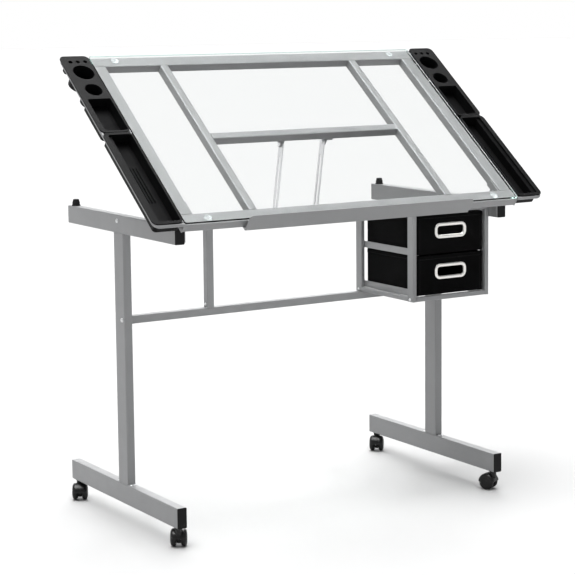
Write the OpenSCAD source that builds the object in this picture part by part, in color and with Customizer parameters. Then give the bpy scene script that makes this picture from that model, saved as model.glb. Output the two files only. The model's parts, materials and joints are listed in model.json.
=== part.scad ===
// Tilting glass-topped drafting table on casters, with side trays, a pencil ledge
// and two fabric drawers. Millimetres, +Z up, +X to the user's right, +Y to the rear.

/* [Stand] */
// Width over the two feet
base_w = 970; // [820:5:1170]
// Length of each foot, end caps included
foot_len = 576; // [500:2:700]
// Length of each side rail, end caps included
rail_len = 574; // [500:2:700]
// Distance of the side rails' middle in front of the feet's middle
rail_lead = 13; // [0:1:20]
// Height of the side rails' top face
rail_top = 771; // [680:1:930]
// Width of the foot and rail tubes
tube_w = 25; // [20:1:30]
// Height of the foot tubes
foot_h = 50; // [40:1:60]
// Height of the side rail tubes
rail_h = 45; // [40:1:60]
// Wall of all square tubes
wall = 1.5; // [1:0.1:2.5]
// Outer corner radius of all square tubes
tube_r = 2.5; // [2.5:0.1:4]
// Width of the uprights, side to side
upright_w = 22; // [18:1:24]
// Depth of the uprights, front to back
upright_d = 50; // [40:1:60]
// Distance of the uprights' middle in front of the feet's middle
upright_lead = 5; // [0:1:15]

/* [Crossbars] */
// Side of the square crossbars and of the centre post
bar_side = 20; // [16:1:24]
// Distance of the crossbars' middle in front of the feet's middle
cross_lead = 18; // [10:1:22]
// Drop of the upper crossbar's top below the rails' top
upper_cross_drop = 13; // [11:1:25]
// Distance of the centre post's middle to the left of the middle plane
post_left = 239; // [180:1:260]

/* [Casters] */
// Radius of the caster wheels
wheel_r = 20; // [16:0.5:25]
// Height of the feet above the wheels' top
caster_head = 10; // [9:0.5:14]
// Width of one caster wheel
wheel_w = 15; // [12:0.5:16]
// Gap between a caster's two wheels
wheel_gap = 11; // [10:0.5:16]
// Distance from the swivel axis back to the wheel axle
caster_trail = 13; // [10:0.5:15]
// Radius of the caster stems
stem_r = 5; // [4:0.1:6]
// Distance from a foot's end to the caster stem
caster_inset = 20; // [16:1:30]

/* [Tabletop] */
// How far the glass reaches past the feet on each side
glass_overhang = 0; // [-5:0.5:10]
// Depth of the glass
glass_d = 610; // [510:5:732]
// Thickness of the glass
glass_t = 5; // [4:0.5:8]
// Angle of the tabletop above level
tilt = 37.4; // [20:0.1:40]
// Height of the clear bumpers under the glass
bumper_h = 3; // [2:0.5:5]
// Width of the tabletop frame's bars
frame_w = 35; // [28:1:42]
// Height of the tabletop frame's bars
frame_h = 22; // [18:1:28]
// Width of the tabletop's cross bars
cross_w = 22; // [18:1:28]
// Distance of the cross bars' middle from the middle plane
cross_x = 286; // [200:1:320]

/* [Hinge] */
// Distance of the hinge pin behind the rails' front end
hinge_setback = 5.8; // [4:0.1:12]
// Height of the hinge pin above the rails' top
hinge_rise = 15.2; // [13:0.1:20]
// Depth of the hinge pin below the glass's top face
hinge_drop = 32; // [30:1:40]
// Radius of the hinge pins
hinge_pin_r = 5; // [4:0.1:6.5]
// Radial running clearance of pins and stems
run_gap = 0.05; // [0.02:0.01:0.1]
// Gap between the rails' rubber bumpers and the frame when it lies flat
rest_gap = 0.2; // [0.1:0.1:1]

/* [Stays] */
// Distance of the stays from the middle plane
stay_x = 60; // [50:1:100]
// Distance of the clamp stud in front of the upper crossbar
stud_reach = 18; // [17:1:24]
// Height of the clamp stud below the rails' top
stud_drop = 36; // [34:1:44]
// Depth of the stay's pin below the glass's top face
stay_pin_drop = 46; // [44:1:50]
// Width of a stay arm
stay_w = 20; // [16:1:22]
// Thickness of a stay arm and of its brackets
plate_t = 3; // [2.5:0.1:4]
// Radius of the clamp studs and the stay pins
stud_r = 4; // [3:0.1:5]
// Clearance between a stud and each side of its slot
slot_gap = 0.3; // [0.2:0.05:0.5]
// Radius of the clamp knobs
knob_r = 17; // [14:0.5:18]

/* [Side trays] */
// Width of a tray's rim
tray_w = 79; // [70:1:100]
// Gap between the frame's side and a tray's rim
tray_gap = 3; // [2:0.5:6]
// Height of the tray rims above the glass
tray_rise = 1; // [0:0.5:3]
// Depth of the bins below the rim's top
bin_depth = 31; // [24:1:40]
// Depth of the cups below the rim's top
cup_depth = 42; // [34:1:60]
// Radius of the large cup
cup_big_r = 27; // [22:0.5:28]
// Radius of the small cup
cup_small_r = 22; // [18:0.5:26]
// Radius of the brush holes
brush_r = 5.5; // [4:0.5:7]
// Wall of the trays
tray_wall = 2; // [1.5:0.1:3]
// Length of the front trays
front_tray_len = 319; // [260:1:340]
// Gap between a front tray and a rear tray
tray_split = 2; // [1:0.5:4]
// Radius of the rod that carries the trays
rod_r = 4; // [3:0.5:5]

/* [Pencil ledge] */
// Length of the ledge
ledge_w = 652; // [500:2:700]
// Height of the ledge's front flange
ledge_h = 46; // [40:1:50]
// Height of the ledge's lip above the glass
ledge_lip = 20; // [14:1:22]
// Depth of the ledge, front to back
ledge_d = 15; // [12:1:20]
// Distance that the ledge slides down
ledge_travel = 18; // [12:1:20]
// Distance of the ledge screws from the middle plane
ledge_screw_x = 299; // [200:1:305]

/* [Drawers] */
// Outer width of the drawer stand
unit_w = 243; // [200:1:292]
// Distance of the drawer stand's front in front of the feet's middle
unit_front = 263; // [240:1:268]
// Width of the drawer stand's posts, side to side
post_w = 12; // [10:1:15]
// Depth of the drawer stand's posts, front to back
post_d = 25; // [20:1:25]
// Height of a fabric drawer
drawer_h = 101; // [84:0.5:102]
// Wall of a fabric drawer
drawer_wall = 3; // [2:0.5:5]
// Clearance on each side of a drawer
drawer_gap = 1.5; // [1:0.5:3]
// Height of the runners' upright flange
runner_h = 17; // [14:1:20]
// Outer width of the grip rings
grip_w = 100; // [90:1:120]
// Outer height of the grip rings
grip_h = 40; // [34:1:50]
// Width of the grip rings' band
grip_band = 8.5; // [7:0.5:11]
// Outer corner radius of the grip rings
grip_r = 16; // [12:0.5:17]

/* [Hidden] */
STEEL = "#9a9b9d";
STEEL_DARK = "#808284";
BLACK = "#1c1c1e";
RUBBER = "#141414";
FABRIC = "#202022";
NICKEL = "#d4d4d0";
CLEAR = "#cfe6df";
LEFT = -1;
RIGHT = 1;
FRONT = -1;
REAR = 1;
FINE = 64;
COARSE = 32;
EPS = 0.01;
HEAD_RIM = 0.4;
HEAD_CROWN = 0.72;

// Stand
foot_x = (base_w - tube_w) / 2;
caster_h = 2 * wheel_r + caster_head;
foot_top = caster_h + foot_h;
rail_bottom = rail_top - rail_h;
rail_front_y = -rail_lead - rail_len / 2;
rail_inner_x = base_w / 2 - tube_w;
upright_inner_x = foot_x - upright_w / 2;
cap_t = 1.2;
cap_gap = 0.2;
bolt_head_r = 5.5;
bolt_head_h = 3.2;
small_bolt_r = 4;
small_bolt_h = 2.5;
foot_bolt_gap = 7;
cross_front_y = -cross_lead - bar_side / 2;
upper_cross_top = rail_top - upper_cross_drop;
upper_cross_bottom = upper_cross_top - bar_side;

// Tabletop: u runs up the slope from the glass's front edge, n stands on the glass
glass_w = base_w + 2 * glass_overhang;
frame_top_n = -glass_t - bumper_h;
frame_bottom_n = frame_top_n - frame_h;
frame_inner_x = glass_w / 2 - frame_w;
bumper_inset = 67;
bumper_x = glass_w / 2 - bumper_inset;
bumper_u = 15;
bumper_r = 10;
glass_corner_r = 5;
hinge_plate_rim = 6;
hinge_plate_r = hinge_pin_r + hinge_plate_rim;
hinge_u = frame_w + hinge_plate_r + 1;
hinge_y = rail_front_y + hinge_setback;
hinge_z = rail_top + hinge_rise;
rest_h = hinge_rise + hinge_drop + frame_bottom_n - rest_gap;
rest_r = 11;
rest_taper = 2.5;
rest_behind = 5;
rest_y = min(rail_front_y + rail_len, hinge_y + glass_d - hinge_u + rest_behind) - 2 * rest_r;

// Front edge of the whole table is the ledge's lip, its rear edge is the feet's end
lip_y = hinge_y - (hinge_u + ledge_d) * cos(tilt) - (hinge_drop + ledge_lip) * sin(tilt);
y_origin = -(lip_y + foot_len / 2) / 2;

// Stays: hinge to stud and hinge to stay pin are the same distance
stud_y = cross_front_y - stud_reach;
stud_z = rail_top - stud_drop;
stay_radius = norm([stud_y - hinge_y, stud_z - hinge_z]);
stay_pin_u = hinge_u + sqrt(pow(stay_radius, 2) - pow(stay_pin_drop - hinge_drop, 2));
stud_angle = atan2(stud_z - hinge_z, stud_y - hinge_y);
pin_angle_flat = atan2(hinge_drop - stay_pin_drop, stay_pin_u - hinge_u);
stay_reach = 2 * stay_radius * sin((tilt + pin_angle_flat - stud_angle) / 2);
stay_reach_flat = 2 * stay_radius * sin((pin_angle_flat - stud_angle) / 2);
stay_angle = (stud_angle + pin_angle_flat + tilt) / 2 - 90;
stay_play = 1;
side_gap = 0.4;
lug_x = stay_x + plate_t + side_gap;
knob_x = stay_x - side_gap;
knob_t = 16;
pin_head_t = 2.5;
pin_head_r = stud_r + pin_head_t;
lug_foot = 18;
bracket_foot = 22;
stud_head_t = 3.5;

// Hinge
ear_x = frame_inner_x - plate_t;
hinge_play = 3;
hinge_plate_x = ear_x - hinge_play - plate_t;
hinge_pin_head_r = hinge_pin_r + 3;
hinge_pin_head_t = 4;
hinge_foot_d = 26;
hinge_web_drop = 5;
hinge_web_z = rail_top - hinge_web_drop;
hinge_edge = 4;
ear_len = 44;
ear_edge = 3;
ear_lap = 8;
sleeve_t = 2;

// Trays
tray_x = glass_w / 2 + tray_gap;
rim_t = 2.5;
rim_corner_r = 14;
rod_x = tray_x + tray_w - rod_r - 1;
rod_n = tray_rise - rim_t - rod_r - 0.1;
rod_front_u = -1;
rod_rear_u = glass_d - 6;
rod_bend_r = 14;
rod_tab_w = 14;
rod_tab_t = 2;
rod_tab_len = 24;
tray_front_u = 1;
tray_rear_u = glass_d + 1;
rear_tray_u = tray_front_u + front_tray_len + tray_split;
body_x = tray_x + 2.5;
body_w = rod_x - rod_r - 2 - body_x;
body_mid_x = body_x + body_w / 2;
body_front_u = rod_front_u + rod_r + 4;
brush_inset = 23;
cup_big_inset = 64;
cup_small_inset = 131;
cup_big_u = tray_rear_u - cup_big_inset;
cup_small_u = tray_rear_u - cup_small_inset;
brush_u = tray_rear_u - brush_inset;
pocket_r = 8;
pocket_inner_r = pocket_r - tray_wall;
pocket_gap = 4;
brush_pitch = 20;
rib_pitch = 8;
rib_len = 120;
rib_t = 2;
rib_h = 4;

// Ledge
ledge_t = 1.5;
ledge_corner_r = 10;
ledge_screw_r = 3;
ledge_screw_n = frame_top_n - frame_h / 2;
ledge_head_r = 5.5;
ledge_head_h = 3;
ledge_spacer_r = 5;
hanger_gap = 1.4;
hanger_w = 18;
hanger_edge = 3;

// Drawer stand, whose height also sets the lower crossbar
unit_rail = 12;
runner_t = 1.5;
drawer_lift = 0.5;
drawer_head = 2.5;
drawer_pitch = drawer_h + drawer_head + runner_t;
unit_h = 2 * (unit_rail + drawer_pitch + 1);
unit_top = upper_cross_top;
unit_bottom = unit_top - unit_h;
lower_cross_top = unit_bottom;
unit_right_x = rail_inner_x;
unit_left_x = unit_right_x - unit_w;
unit_front_y = -unit_front;
rear_post_y = -cross_lead;
unit_rear_y = rear_post_y + post_d / 2;
runner_flange = 15;
drawer_w = unit_w - 2 * post_w - 2 * runner_t - 2 * drawer_gap;
drawer_x = (unit_left_x + unit_right_x) / 2;
drawer_setback = 4;
drawer_rear_gap = 2;
drawer_front_y = unit_front_y + drawer_setback;
drawer_d = rear_post_y - post_d / 2 - drawer_front_y - drawer_rear_gap;
runner_z = [unit_bottom + unit_rail, unit_bottom + unit_rail + drawer_pitch];
grip_above_middle = 8;
grip_t = 2;

// Casters: place of each stem and the way each one is turned
stem_up = 32;
socket_r = stem_r + 3.5;
cap_plug = caster_inset - socket_r - cap_t - 1;
axle_r = 3;
hood_gap = 1;
hood_t = 3;
hood_inset = 2;
hood_drop = 2.5;
neck_wall = 4;
socket_lip = 2;
tread_chamfer = 2;
caster_turn = [[LEFT, FRONT, 150], [RIGHT, FRONT, 205], [LEFT, REAR, -28], [RIGHT, REAR, -38]];

module at_stand() translate([0, y_origin, 0]) children();

// Places its children in the tabletop's own frame: X, u up the slope, n off the glass
module on_top()
    at_stand()
        translate([0, hinge_y, hinge_z])
            rotate([tilt, 0, 0])
                translate([0, -hinge_u, hinge_drop])
                    children();

module round_rect(w, h, r) {
    square([w - 2 * r, h], center = true);
    square([w, h - 2 * r], center = true);
    for (sx = [-1, 1], sy = [-1, 1])
        translate([sx * (w / 2 - r), sy * (h / 2 - r)])
            circle(r = r, $fn = COARSE);
}

module tube_profile(w, h)
    difference() {
        round_rect(w, h, tube_r);
        round_rect(w - 2 * wall, h - 2 * wall, tube_r - wall);
    }

// Tubes are centred on their own middle; w is the first cross dimension in X, Y, Z order
module tube_x(d, h, len) rotate([90, 0, 90]) linear_extrude(len, center = true) tube_profile(d, h);
module tube_y(w, h, len) rotate([90, 0, 0]) linear_extrude(len, center = true) tube_profile(w, h);
module tube_z(w, d, len) linear_extrude(len, center = true) tube_profile(w, d);

// A rod along X from x = 0
module rod_x(r, len, sides = FINE) rotate([0, 90, 0]) cylinder(r = r, h = len, $fn = sides);

// A pan head whose flat face is at z = 0 and whose crown points along +Z
module pan_head(r, h) {
    cylinder(r = r, h = h * HEAD_RIM, $fn = FINE);
    translate([0, 0, h * HEAD_RIM])
        cylinder(r1 = r, r2 = r * HEAD_CROWN, h = h * (1 - HEAD_RIM), $fn = FINE);
}

module foot(side)
    color(STEEL)
        at_stand()
            translate([side * foot_x, 0, caster_h + foot_h / 2])
                difference() {
                    tube_y(tube_w, foot_h, foot_len - 2 * cap_t);
                    for (end = [FRONT, REAR])
                        translate([0, end * (foot_len / 2 - caster_inset), -foot_h / 2 - 1])
                            cylinder(r = socket_r + 0.1, h = wall + 2, $fn = FINE);
                }

module upright(side)
    color(STEEL)
        at_stand()
            translate([side * foot_x, -upright_lead, (foot_top + rail_bottom) / 2])
                tube_z(upright_w, upright_d, rail_bottom - foot_top);

module side_rail(side)
    color(STEEL)
        at_stand()
            translate([side * foot_x, -rail_lead, rail_top - rail_h / 2])
                tube_y(tube_w, rail_h, rail_len - 2 * cap_t);

module end_cap(w, h) {
    linear_extrude(cap_t)
        round_rect(w, h, tube_r);
    translate([0, 0, -cap_plug])
        linear_extrude(cap_plug + EPS)
            round_rect(w - 2 * wall - 2 * cap_gap, h - 2 * wall - 2 * cap_gap, 1);
}

module tube_end_caps(h, z, len, lead)
    color(BLACK)
        at_stand()
            for (side = [LEFT, RIGHT], end = [FRONT, REAR])
                translate([side * foot_x, end * (len / 2 - cap_t) - lead, z])
                    rotate([-90 * end, 0, 0])
                        end_cap(tube_w, h);

module foot_end_caps() tube_end_caps(foot_h, caster_h + foot_h / 2, foot_len, 0);
module rail_end_caps() tube_end_caps(rail_h, rail_top - rail_h / 2, rail_len, rail_lead);

module crossbar(top, half)
    color(STEEL)
        at_stand()
            translate([0, -cross_lead, top - bar_side / 2])
                tube_x(bar_side, bar_side, 2 * half);

module centre_post()
    color(STEEL)
        at_stand()
            translate([-post_left, -cross_lead, (lower_cross_top + upper_cross_bottom) / 2])
                tube_z(bar_side, bar_side, upper_cross_bottom - lower_cross_top);

// Rubber stops that carry the tabletop when it lies flat
module rest_bumpers()
    color(RUBBER)
        at_stand()
            for (side = [LEFT, RIGHT])
                translate([side * foot_x, rest_y, rail_top])
                    cylinder(r1 = rest_r, r2 = rest_r - rest_taper, h = rest_h, $fn = FINE);

// A bolt head whose crown points out to one side
module side_bolt(side, r, h)
    rotate([0, side * 90, 0])
        pan_head(r, h);

// Bolt heads that show on the stand, each pointing out of the face it holds
module frame_bolts()
    color(STEEL_DARK)
        at_stand() {
            for (side = [LEFT, RIGHT]) {
                // Side rails on the uprights, and the lower crossbar between the uprights
                translate([side * base_w / 2, -upright_lead, rail_top - rail_h / 3])
                    side_bolt(side, bolt_head_r, bolt_head_h);
                translate([
                    side * (foot_x + upright_w / 2),
                    -cross_lead,
                    lower_cross_top - bar_side / 2
                ])
                    side_bolt(side, bolt_head_r, bolt_head_h);
                // A pair on the foot in front of and behind each upright
                for (end = [FRONT, REAR], step = [-0.5, 0.5])
                    translate([
                        side * foot_x + step * (2 * small_bolt_r + 1),
                        end * (upright_d / 2 + foot_bolt_gap) - upright_lead,
                        foot_top
                    ])
                        pan_head(small_bolt_r, small_bolt_h);
            }
            // Foot of the centre post and of the drawer stand's left posts
            translate([-post_left - bar_side / 2, -cross_lead, lower_cross_top + 2 * small_bolt_r])
                side_bolt(LEFT, small_bolt_r, small_bolt_h);
            for (y = [unit_front_y + post_d / 2, rear_post_y])
                for (z = [unit_bottom + unit_rail / 2, unit_top - unit_rail / 2])
                    translate([unit_left_x, y, z])
                        side_bolt(LEFT, small_bolt_r, small_bolt_h);
        }

module drawer_post(x_side, y, top)
    color(STEEL)
        at_stand()
            translate([
                x_side == LEFT ? unit_left_x + post_w / 2 : unit_right_x - post_w / 2,
                y,
                (unit_bottom + top) / 2
            ])
                tube_z(post_w, post_d, top - unit_bottom);

module front_drawer_post(side) drawer_post(side, unit_front_y + post_d / 2, unit_top);
module rear_drawer_post(side) drawer_post(side, rear_post_y, upper_cross_bottom);

// Rails that tie the posts: two on each side and two across the front
module drawer_stand_rails() {
    rail_rear_y = rear_post_y - post_d / 2;
    rail_front = unit_front_y + post_d;
    color(STEEL)
        at_stand() {
            for (z = [unit_bottom, unit_top - unit_rail]) {
                for (x = [unit_left_x + post_w / 2, unit_right_x - post_w / 2])
                    translate([x, (rail_front + rail_rear_y) / 2, z + unit_rail / 2])
                        tube_y(post_w, unit_rail, rail_rear_y - rail_front);
                translate([drawer_x, unit_front_y + unit_rail / 2, z + unit_rail / 2])
                    tube_x(unit_rail, unit_rail, unit_w - 2 * post_w);
            }
        }
}

// Angles on the posts' inner faces that the drawers slide on
module drawer_runners()
    color(STEEL)
        at_stand()
            for (side = [LEFT, RIGHT], z = runner_z)
                translate([drawer_x, 0, z])
                    mirror([side == LEFT ? 0 : 1, 0, 0])
                        translate([-unit_w / 2 + post_w, unit_front_y + unit_rail + 1, 0]) {
                            cube([runner_t, unit_rear_y - unit_front_y - unit_rail - 1, runner_h]);
                            cube([runner_flange, unit_rear_y - unit_front_y - unit_rail - 1, runner_t]);
                        }

function drawer_z(level) = runner_z[level] + runner_t + drawer_lift;

module grip_outline(inset)
    round_rect(grip_w - 2 * inset, grip_h - 2 * inset, grip_r - inset);

module at_grip(level)
    at_stand()
        translate([drawer_x, drawer_front_y, drawer_z(level) + drawer_h / 2 + grip_above_middle])
            rotate([90, 0, 0])
                children();

module drawer(level)
    color(FABRIC)
        difference() {
            at_stand()
                translate([drawer_x - drawer_w / 2, drawer_front_y, drawer_z(level)])
                    difference() {
                        cube([drawer_w, drawer_d, drawer_h]);
                        translate([drawer_wall, drawer_wall, drawer_wall])
                            cube([drawer_w - 2 * drawer_wall, drawer_d - 2 * drawer_wall, drawer_h]);
                    }
            at_grip(level)
                translate([0, 0, -drawer_wall - 1])
                    linear_extrude(drawer_wall + 2)
                        grip_outline(grip_band);
        }

module drawer_grip(level)
    color(NICKEL)
        at_grip(level)
            linear_extrude(grip_t)
                difference() {
                    grip_outline(0);
                    grip_outline(grip_band);
                }

module top_bar_across(u)
    color(STEEL)
        on_top()
            translate([0, u, frame_top_n - frame_h / 2])
                tube_x(frame_w, frame_h, glass_w);

module top_bar_side(side)
    color(STEEL)
        on_top()
            translate([side * (glass_w - frame_w) / 2, glass_d / 2, frame_top_n - frame_h / 2])
                tube_y(frame_w, frame_h, glass_d - 2 * frame_w);

module top_cross_bar(side)
    color(STEEL)
        on_top()
            translate([side * cross_x, glass_d / 2, frame_top_n - frame_h / 2])
                tube_y(cross_w, frame_h, glass_d - 2 * frame_w);

module top_stay_bar()
    color(STEEL)
        on_top()
            translate([0, stay_pin_u, frame_top_n - frame_h / 2])
                tube_x(cross_w, frame_h, 2 * cross_x - cross_w);

module glass_top()
    color(CLEAR, 0.4)
        on_top()
            translate([0, glass_d / 2, -glass_t])
                linear_extrude(glass_t)
                    round_rect(glass_w, glass_d, glass_corner_r);

module glass_bumpers()
    color(CLEAR, 0.6)
        on_top()
            for (side = [LEFT, RIGHT], u = [bumper_u, glass_d - bumper_u])
                translate([side * bumper_x, u, frame_top_n])
                    cylinder(r = bumper_r, h = bumper_h, $fn = FINE);

// Offset brackets on the rails' inner faces that hold the hinge pins
module hinge_brackets() {
    foot_z = rail_bottom + hinge_edge;
    web_z = hinge_web_z - plate_t;
    start_y = hinge_y - hinge_edge;
    color(STEEL)
        at_stand()
            for (side = [LEFT, RIGHT])
                mirror([side == LEFT ? 1 : 0, 0, 0])
                    difference() {
                        union() {
                            translate([rail_inner_x - plate_t, start_y, foot_z])
                                cube([plate_t, hinge_foot_d, hinge_web_z - foot_z]);
                            translate([hinge_plate_x, start_y, web_z])
                                cube([rail_inner_x - hinge_plate_x, hinge_foot_d, plate_t]);
                            translate([hinge_plate_x, start_y, web_z])
                                cube([plate_t, hinge_plate_r + hinge_edge, hinge_z - web_z]);
                            translate([hinge_plate_x, hinge_y, hinge_z])
                                rod_x(hinge_plate_r, plate_t);
                        }
                        translate([hinge_plate_x - 1, hinge_y, hinge_z])
                            rod_x(hinge_pin_r + run_gap, plate_t + 2);
                    }
}

// Ears on the inner faces of the tabletop's side bars
module hinge_ears() {
    tongue_len = hinge_drop + frame_bottom_n + ear_lap;
    color(STEEL)
        on_top()
            for (side = [LEFT, RIGHT])
                mirror([side == LEFT ? 1 : 0, 0, 0])
                    difference() {
                        union() {
                            translate([ear_x, frame_w + 1, frame_bottom_n])
                                cube([plate_t, ear_len, frame_h - ear_edge]);
                            translate([ear_x, hinge_u - hinge_plate_r, -hinge_drop])
                                cube([plate_t, 2 * hinge_plate_r, tongue_len]);
                            translate([ear_x, hinge_u, -hinge_drop])
                                rod_x(hinge_plate_r, plate_t);
                        }
                        translate([ear_x - 1, hinge_u, -hinge_drop])
                            rod_x(hinge_pin_r + run_gap, plate_t + 2);
                    }
}

// Shoulder pins with a round head outside the bracket and a sleeve between the plates
module hinge_pins()
    color(STEEL_DARK)
        at_stand()
            for (side = [LEFT, RIGHT])
                mirror([side == LEFT ? 1 : 0, 0, 0])
                    translate([hinge_plate_x, hinge_y, hinge_z]) {
                        translate([-hinge_pin_head_t - side_gap, 0, 0])
                            rod_x(hinge_pin_head_r, hinge_pin_head_t);
                        translate([-side_gap - EPS, 0, 0])
                            rod_x(hinge_pin_r, 2 * plate_t + hinge_play + 2 * side_gap - plate_t / 3);
                        translate([plate_t + side_gap, 0, 0])
                            rod_x(hinge_pin_r + sleeve_t, hinge_play - 2 * side_gap);
                    }

// Slotted arm, hinged under the tabletop and clamped on the stand's stud.
// Drawn from the pin at the origin towards the stud along +Y, flat in the YZ plane.
module stay_arm() {
    slot_r = stud_r + slot_gap;
    slot_start = stay_reach_flat - stay_play;
    slot_end = stay_reach + stay_play;
    rotate([90, 0, 90])
        linear_extrude(plate_t)
            difference() {
                union() {
                    circle(r = stay_w / 2, $fn = FINE);
                    translate([0, -stay_w / 2])
                        square([slot_end, stay_w]);
                    translate([slot_end, 0])
                        circle(r = stay_w / 2, $fn = FINE);
                }
                circle(r = stud_r + run_gap, $fn = FINE);
                translate([slot_start, -slot_r])
                    square([slot_end - slot_start, 2 * slot_r]);
                for (x = [slot_start, slot_end])
                    translate([x, 0])
                        circle(r = slot_r, $fn = FINE);
            }
}

module stay(side)
    color(STEEL_DARK)
        on_top()
            translate([side == LEFT ? -stay_x - plate_t : stay_x, stay_pin_u, -stay_pin_drop])
                rotate([stay_angle - tilt, 0, 0])
                    stay_arm();

// Plates under the tabletop's stay bar
module stay_lugs()
    color(STEEL)
        on_top()
            for (side = [LEFT, RIGHT])
                mirror([side == LEFT ? 1 : 0, 0, 0])
                    translate([lug_x, stay_pin_u, 0])
                        difference() {
                            union() {
                                translate([0, -cross_w / 2, frame_bottom_n - plate_t])
                                    cube([lug_foot, cross_w, plate_t]);
                                translate([0, -stay_w / 2, -stay_pin_drop])
                                    cube([plate_t, stay_w, stay_pin_drop + frame_bottom_n]);
                                translate([0, 0, -stay_pin_drop])
                                    rod_x(stay_w / 2, plate_t);
                            }
                            translate([-1, 0, -stay_pin_drop])
                                rod_x(stud_r + run_gap, plate_t + 2);
                        }

module stay_pins()
    color(STEEL_DARK)
        on_top()
            for (side = [LEFT, RIGHT])
                mirror([side == LEFT ? 1 : 0, 0, 0])
                    translate([stay_x, stay_pin_u, -stay_pin_drop]) {
                        translate([-side_gap - pin_head_t, 0, 0])
                            rod_x(pin_head_r, pin_head_t);
                        translate([-side_gap - EPS, 0, 0])
                            rod_x(stud_r, 2 * plate_t + 3 * side_gap + 2 * EPS);
                        translate([2 * plate_t + 2 * side_gap, 0, 0])
                            rod_x(pin_head_r, pin_head_t);
                    }

// Plates on the upper crossbar's front that hold the clamp studs
module stay_brackets()
    color(STEEL)
        at_stand()
            for (side = [LEFT, RIGHT])
                mirror([side == LEFT ? 1 : 0, 0, 0])
                    translate([lug_x, 0, 0])
                        difference() {
                            union() {
                                translate([0, cross_front_y - plate_t, upper_cross_bottom])
                                    cube([bracket_foot, plate_t, bar_side]);
                                translate([0, stud_y, stud_z - stay_w / 2])
                                    cube([plate_t, stud_reach, upper_cross_top - stud_z]);
                                translate([0, stud_y, stud_z])
                                    rod_x(stay_w / 2, plate_t);
                            }
                            translate([-1, stud_y, stud_z])
                                rod_x(stud_r + run_gap, plate_t + 2);
                        }

module stay_studs()
    color(STEEL_DARK)
        at_stand()
            for (side = [LEFT, RIGHT])
                mirror([side == LEFT ? 1 : 0, 0, 0])
                    translate([0, stud_y, stud_z]) {
                        translate([knob_x - knob_t + 1, 0, 0])
                            rod_x(stud_r, knob_t + 2 * plate_t + 2 * side_gap);
                        translate([lug_x + plate_t, 0, 0])
                            rod_x(pin_head_r, stud_head_t);
                    }

// Five-lobed clamp knob on the end of a stud
module stay_knob(side) {
    hub_r = knob_r * 0.55;
    body_r = knob_r * 0.74;
    lobe_r = knob_r * 0.32;
    hub_h = 4;
    lobe_step = 360 / 5;
    color(BLACK)
        at_stand()
            mirror([side == LEFT ? 1 : 0, 0, 0])
                translate([knob_x, stud_y, stud_z])
                    rotate([0, -90, 0])
                        difference() {
                            union() {
                                cylinder(r = hub_r, h = knob_t, $fn = FINE);
                                translate([0, 0, hub_h])
                                    linear_extrude(knob_t - hub_h)
                                        union() {
                                            circle(r = body_r, $fn = FINE);
                                            for (a = [0 : lobe_step : 359])
                                                rotate(a)
                                                    translate([knob_r - lobe_r, 0])
                                                        circle(r = lobe_r, $fn = COARSE);
                                        }
                            }
                            translate([0, 0, -1])
                                cylinder(r = stud_r + run_gap, h = knob_t + 0.5, $fn = FINE);
                        }
}

// Steel rod in a U round the outside of a pair of trays, with a tab at each end
module rod_bend()
    rotate_extrude(angle = 90, $fn = FINE)
        translate([rod_bend_r, 0])
            circle(r = rod_r, $fn = COARSE);

module tray_rod(side) {
    tab_x = glass_w / 2 - rod_tab_w;
    leg = rod_x - rod_bend_r - tab_x;
    run = rod_rear_u - rod_front_u - 2 * rod_bend_r;
    color(STEEL)
        on_top()
            mirror([side == LEFT ? 1 : 0, 0, 0])
                translate([0, 0, rod_n]) {
                    translate([glass_w / 2 + 1, rod_front_u, 0])
                        rod_x(rod_r, leg - rod_tab_w - 1);
                    translate([rod_x - rod_bend_r, rod_front_u + rod_bend_r, 0])
                        rotate([0, 0, -90])
                            rod_bend();
                    translate([rod_x, rod_front_u + rod_bend_r, 0])
                        rotate([-90, 0, 0])
                            cylinder(r = rod_r, h = run, $fn = FINE);
                    translate([rod_x - rod_bend_r, rod_rear_u - rod_bend_r, 0])
                        rod_bend();
                    translate([glass_w / 2 + 1, rod_rear_u, 0])
                        rod_x(rod_r, leg - rod_tab_w - 1);
                    // Flattened ends on the frame's side faces
                    translate([glass_w / 2, rod_front_u, frame_bottom_n - rod_n])
                        cube([rod_tab_t, rod_tab_len, rod_n - frame_bottom_n]);
                    translate([glass_w / 2, rod_rear_u - rod_tab_len, frame_bottom_n - rod_n])
                        cube([rod_tab_t, rod_tab_len + rod_r, rod_n - frame_bottom_n]);
                }
}

// Outer shell of a pocket under the rim, w by len, with its top at n = 0
module pocket(w, len, depth, r)
    translate([0, 0, -depth])
        linear_extrude(depth)
            round_rect(w, len, r);

module tray_rim(len)
    translate([tray_x + tray_w / 2, len / 2, -rim_t])
        linear_extrude(rim_t)
            round_rect(tray_w, len, rim_corner_r);

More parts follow.
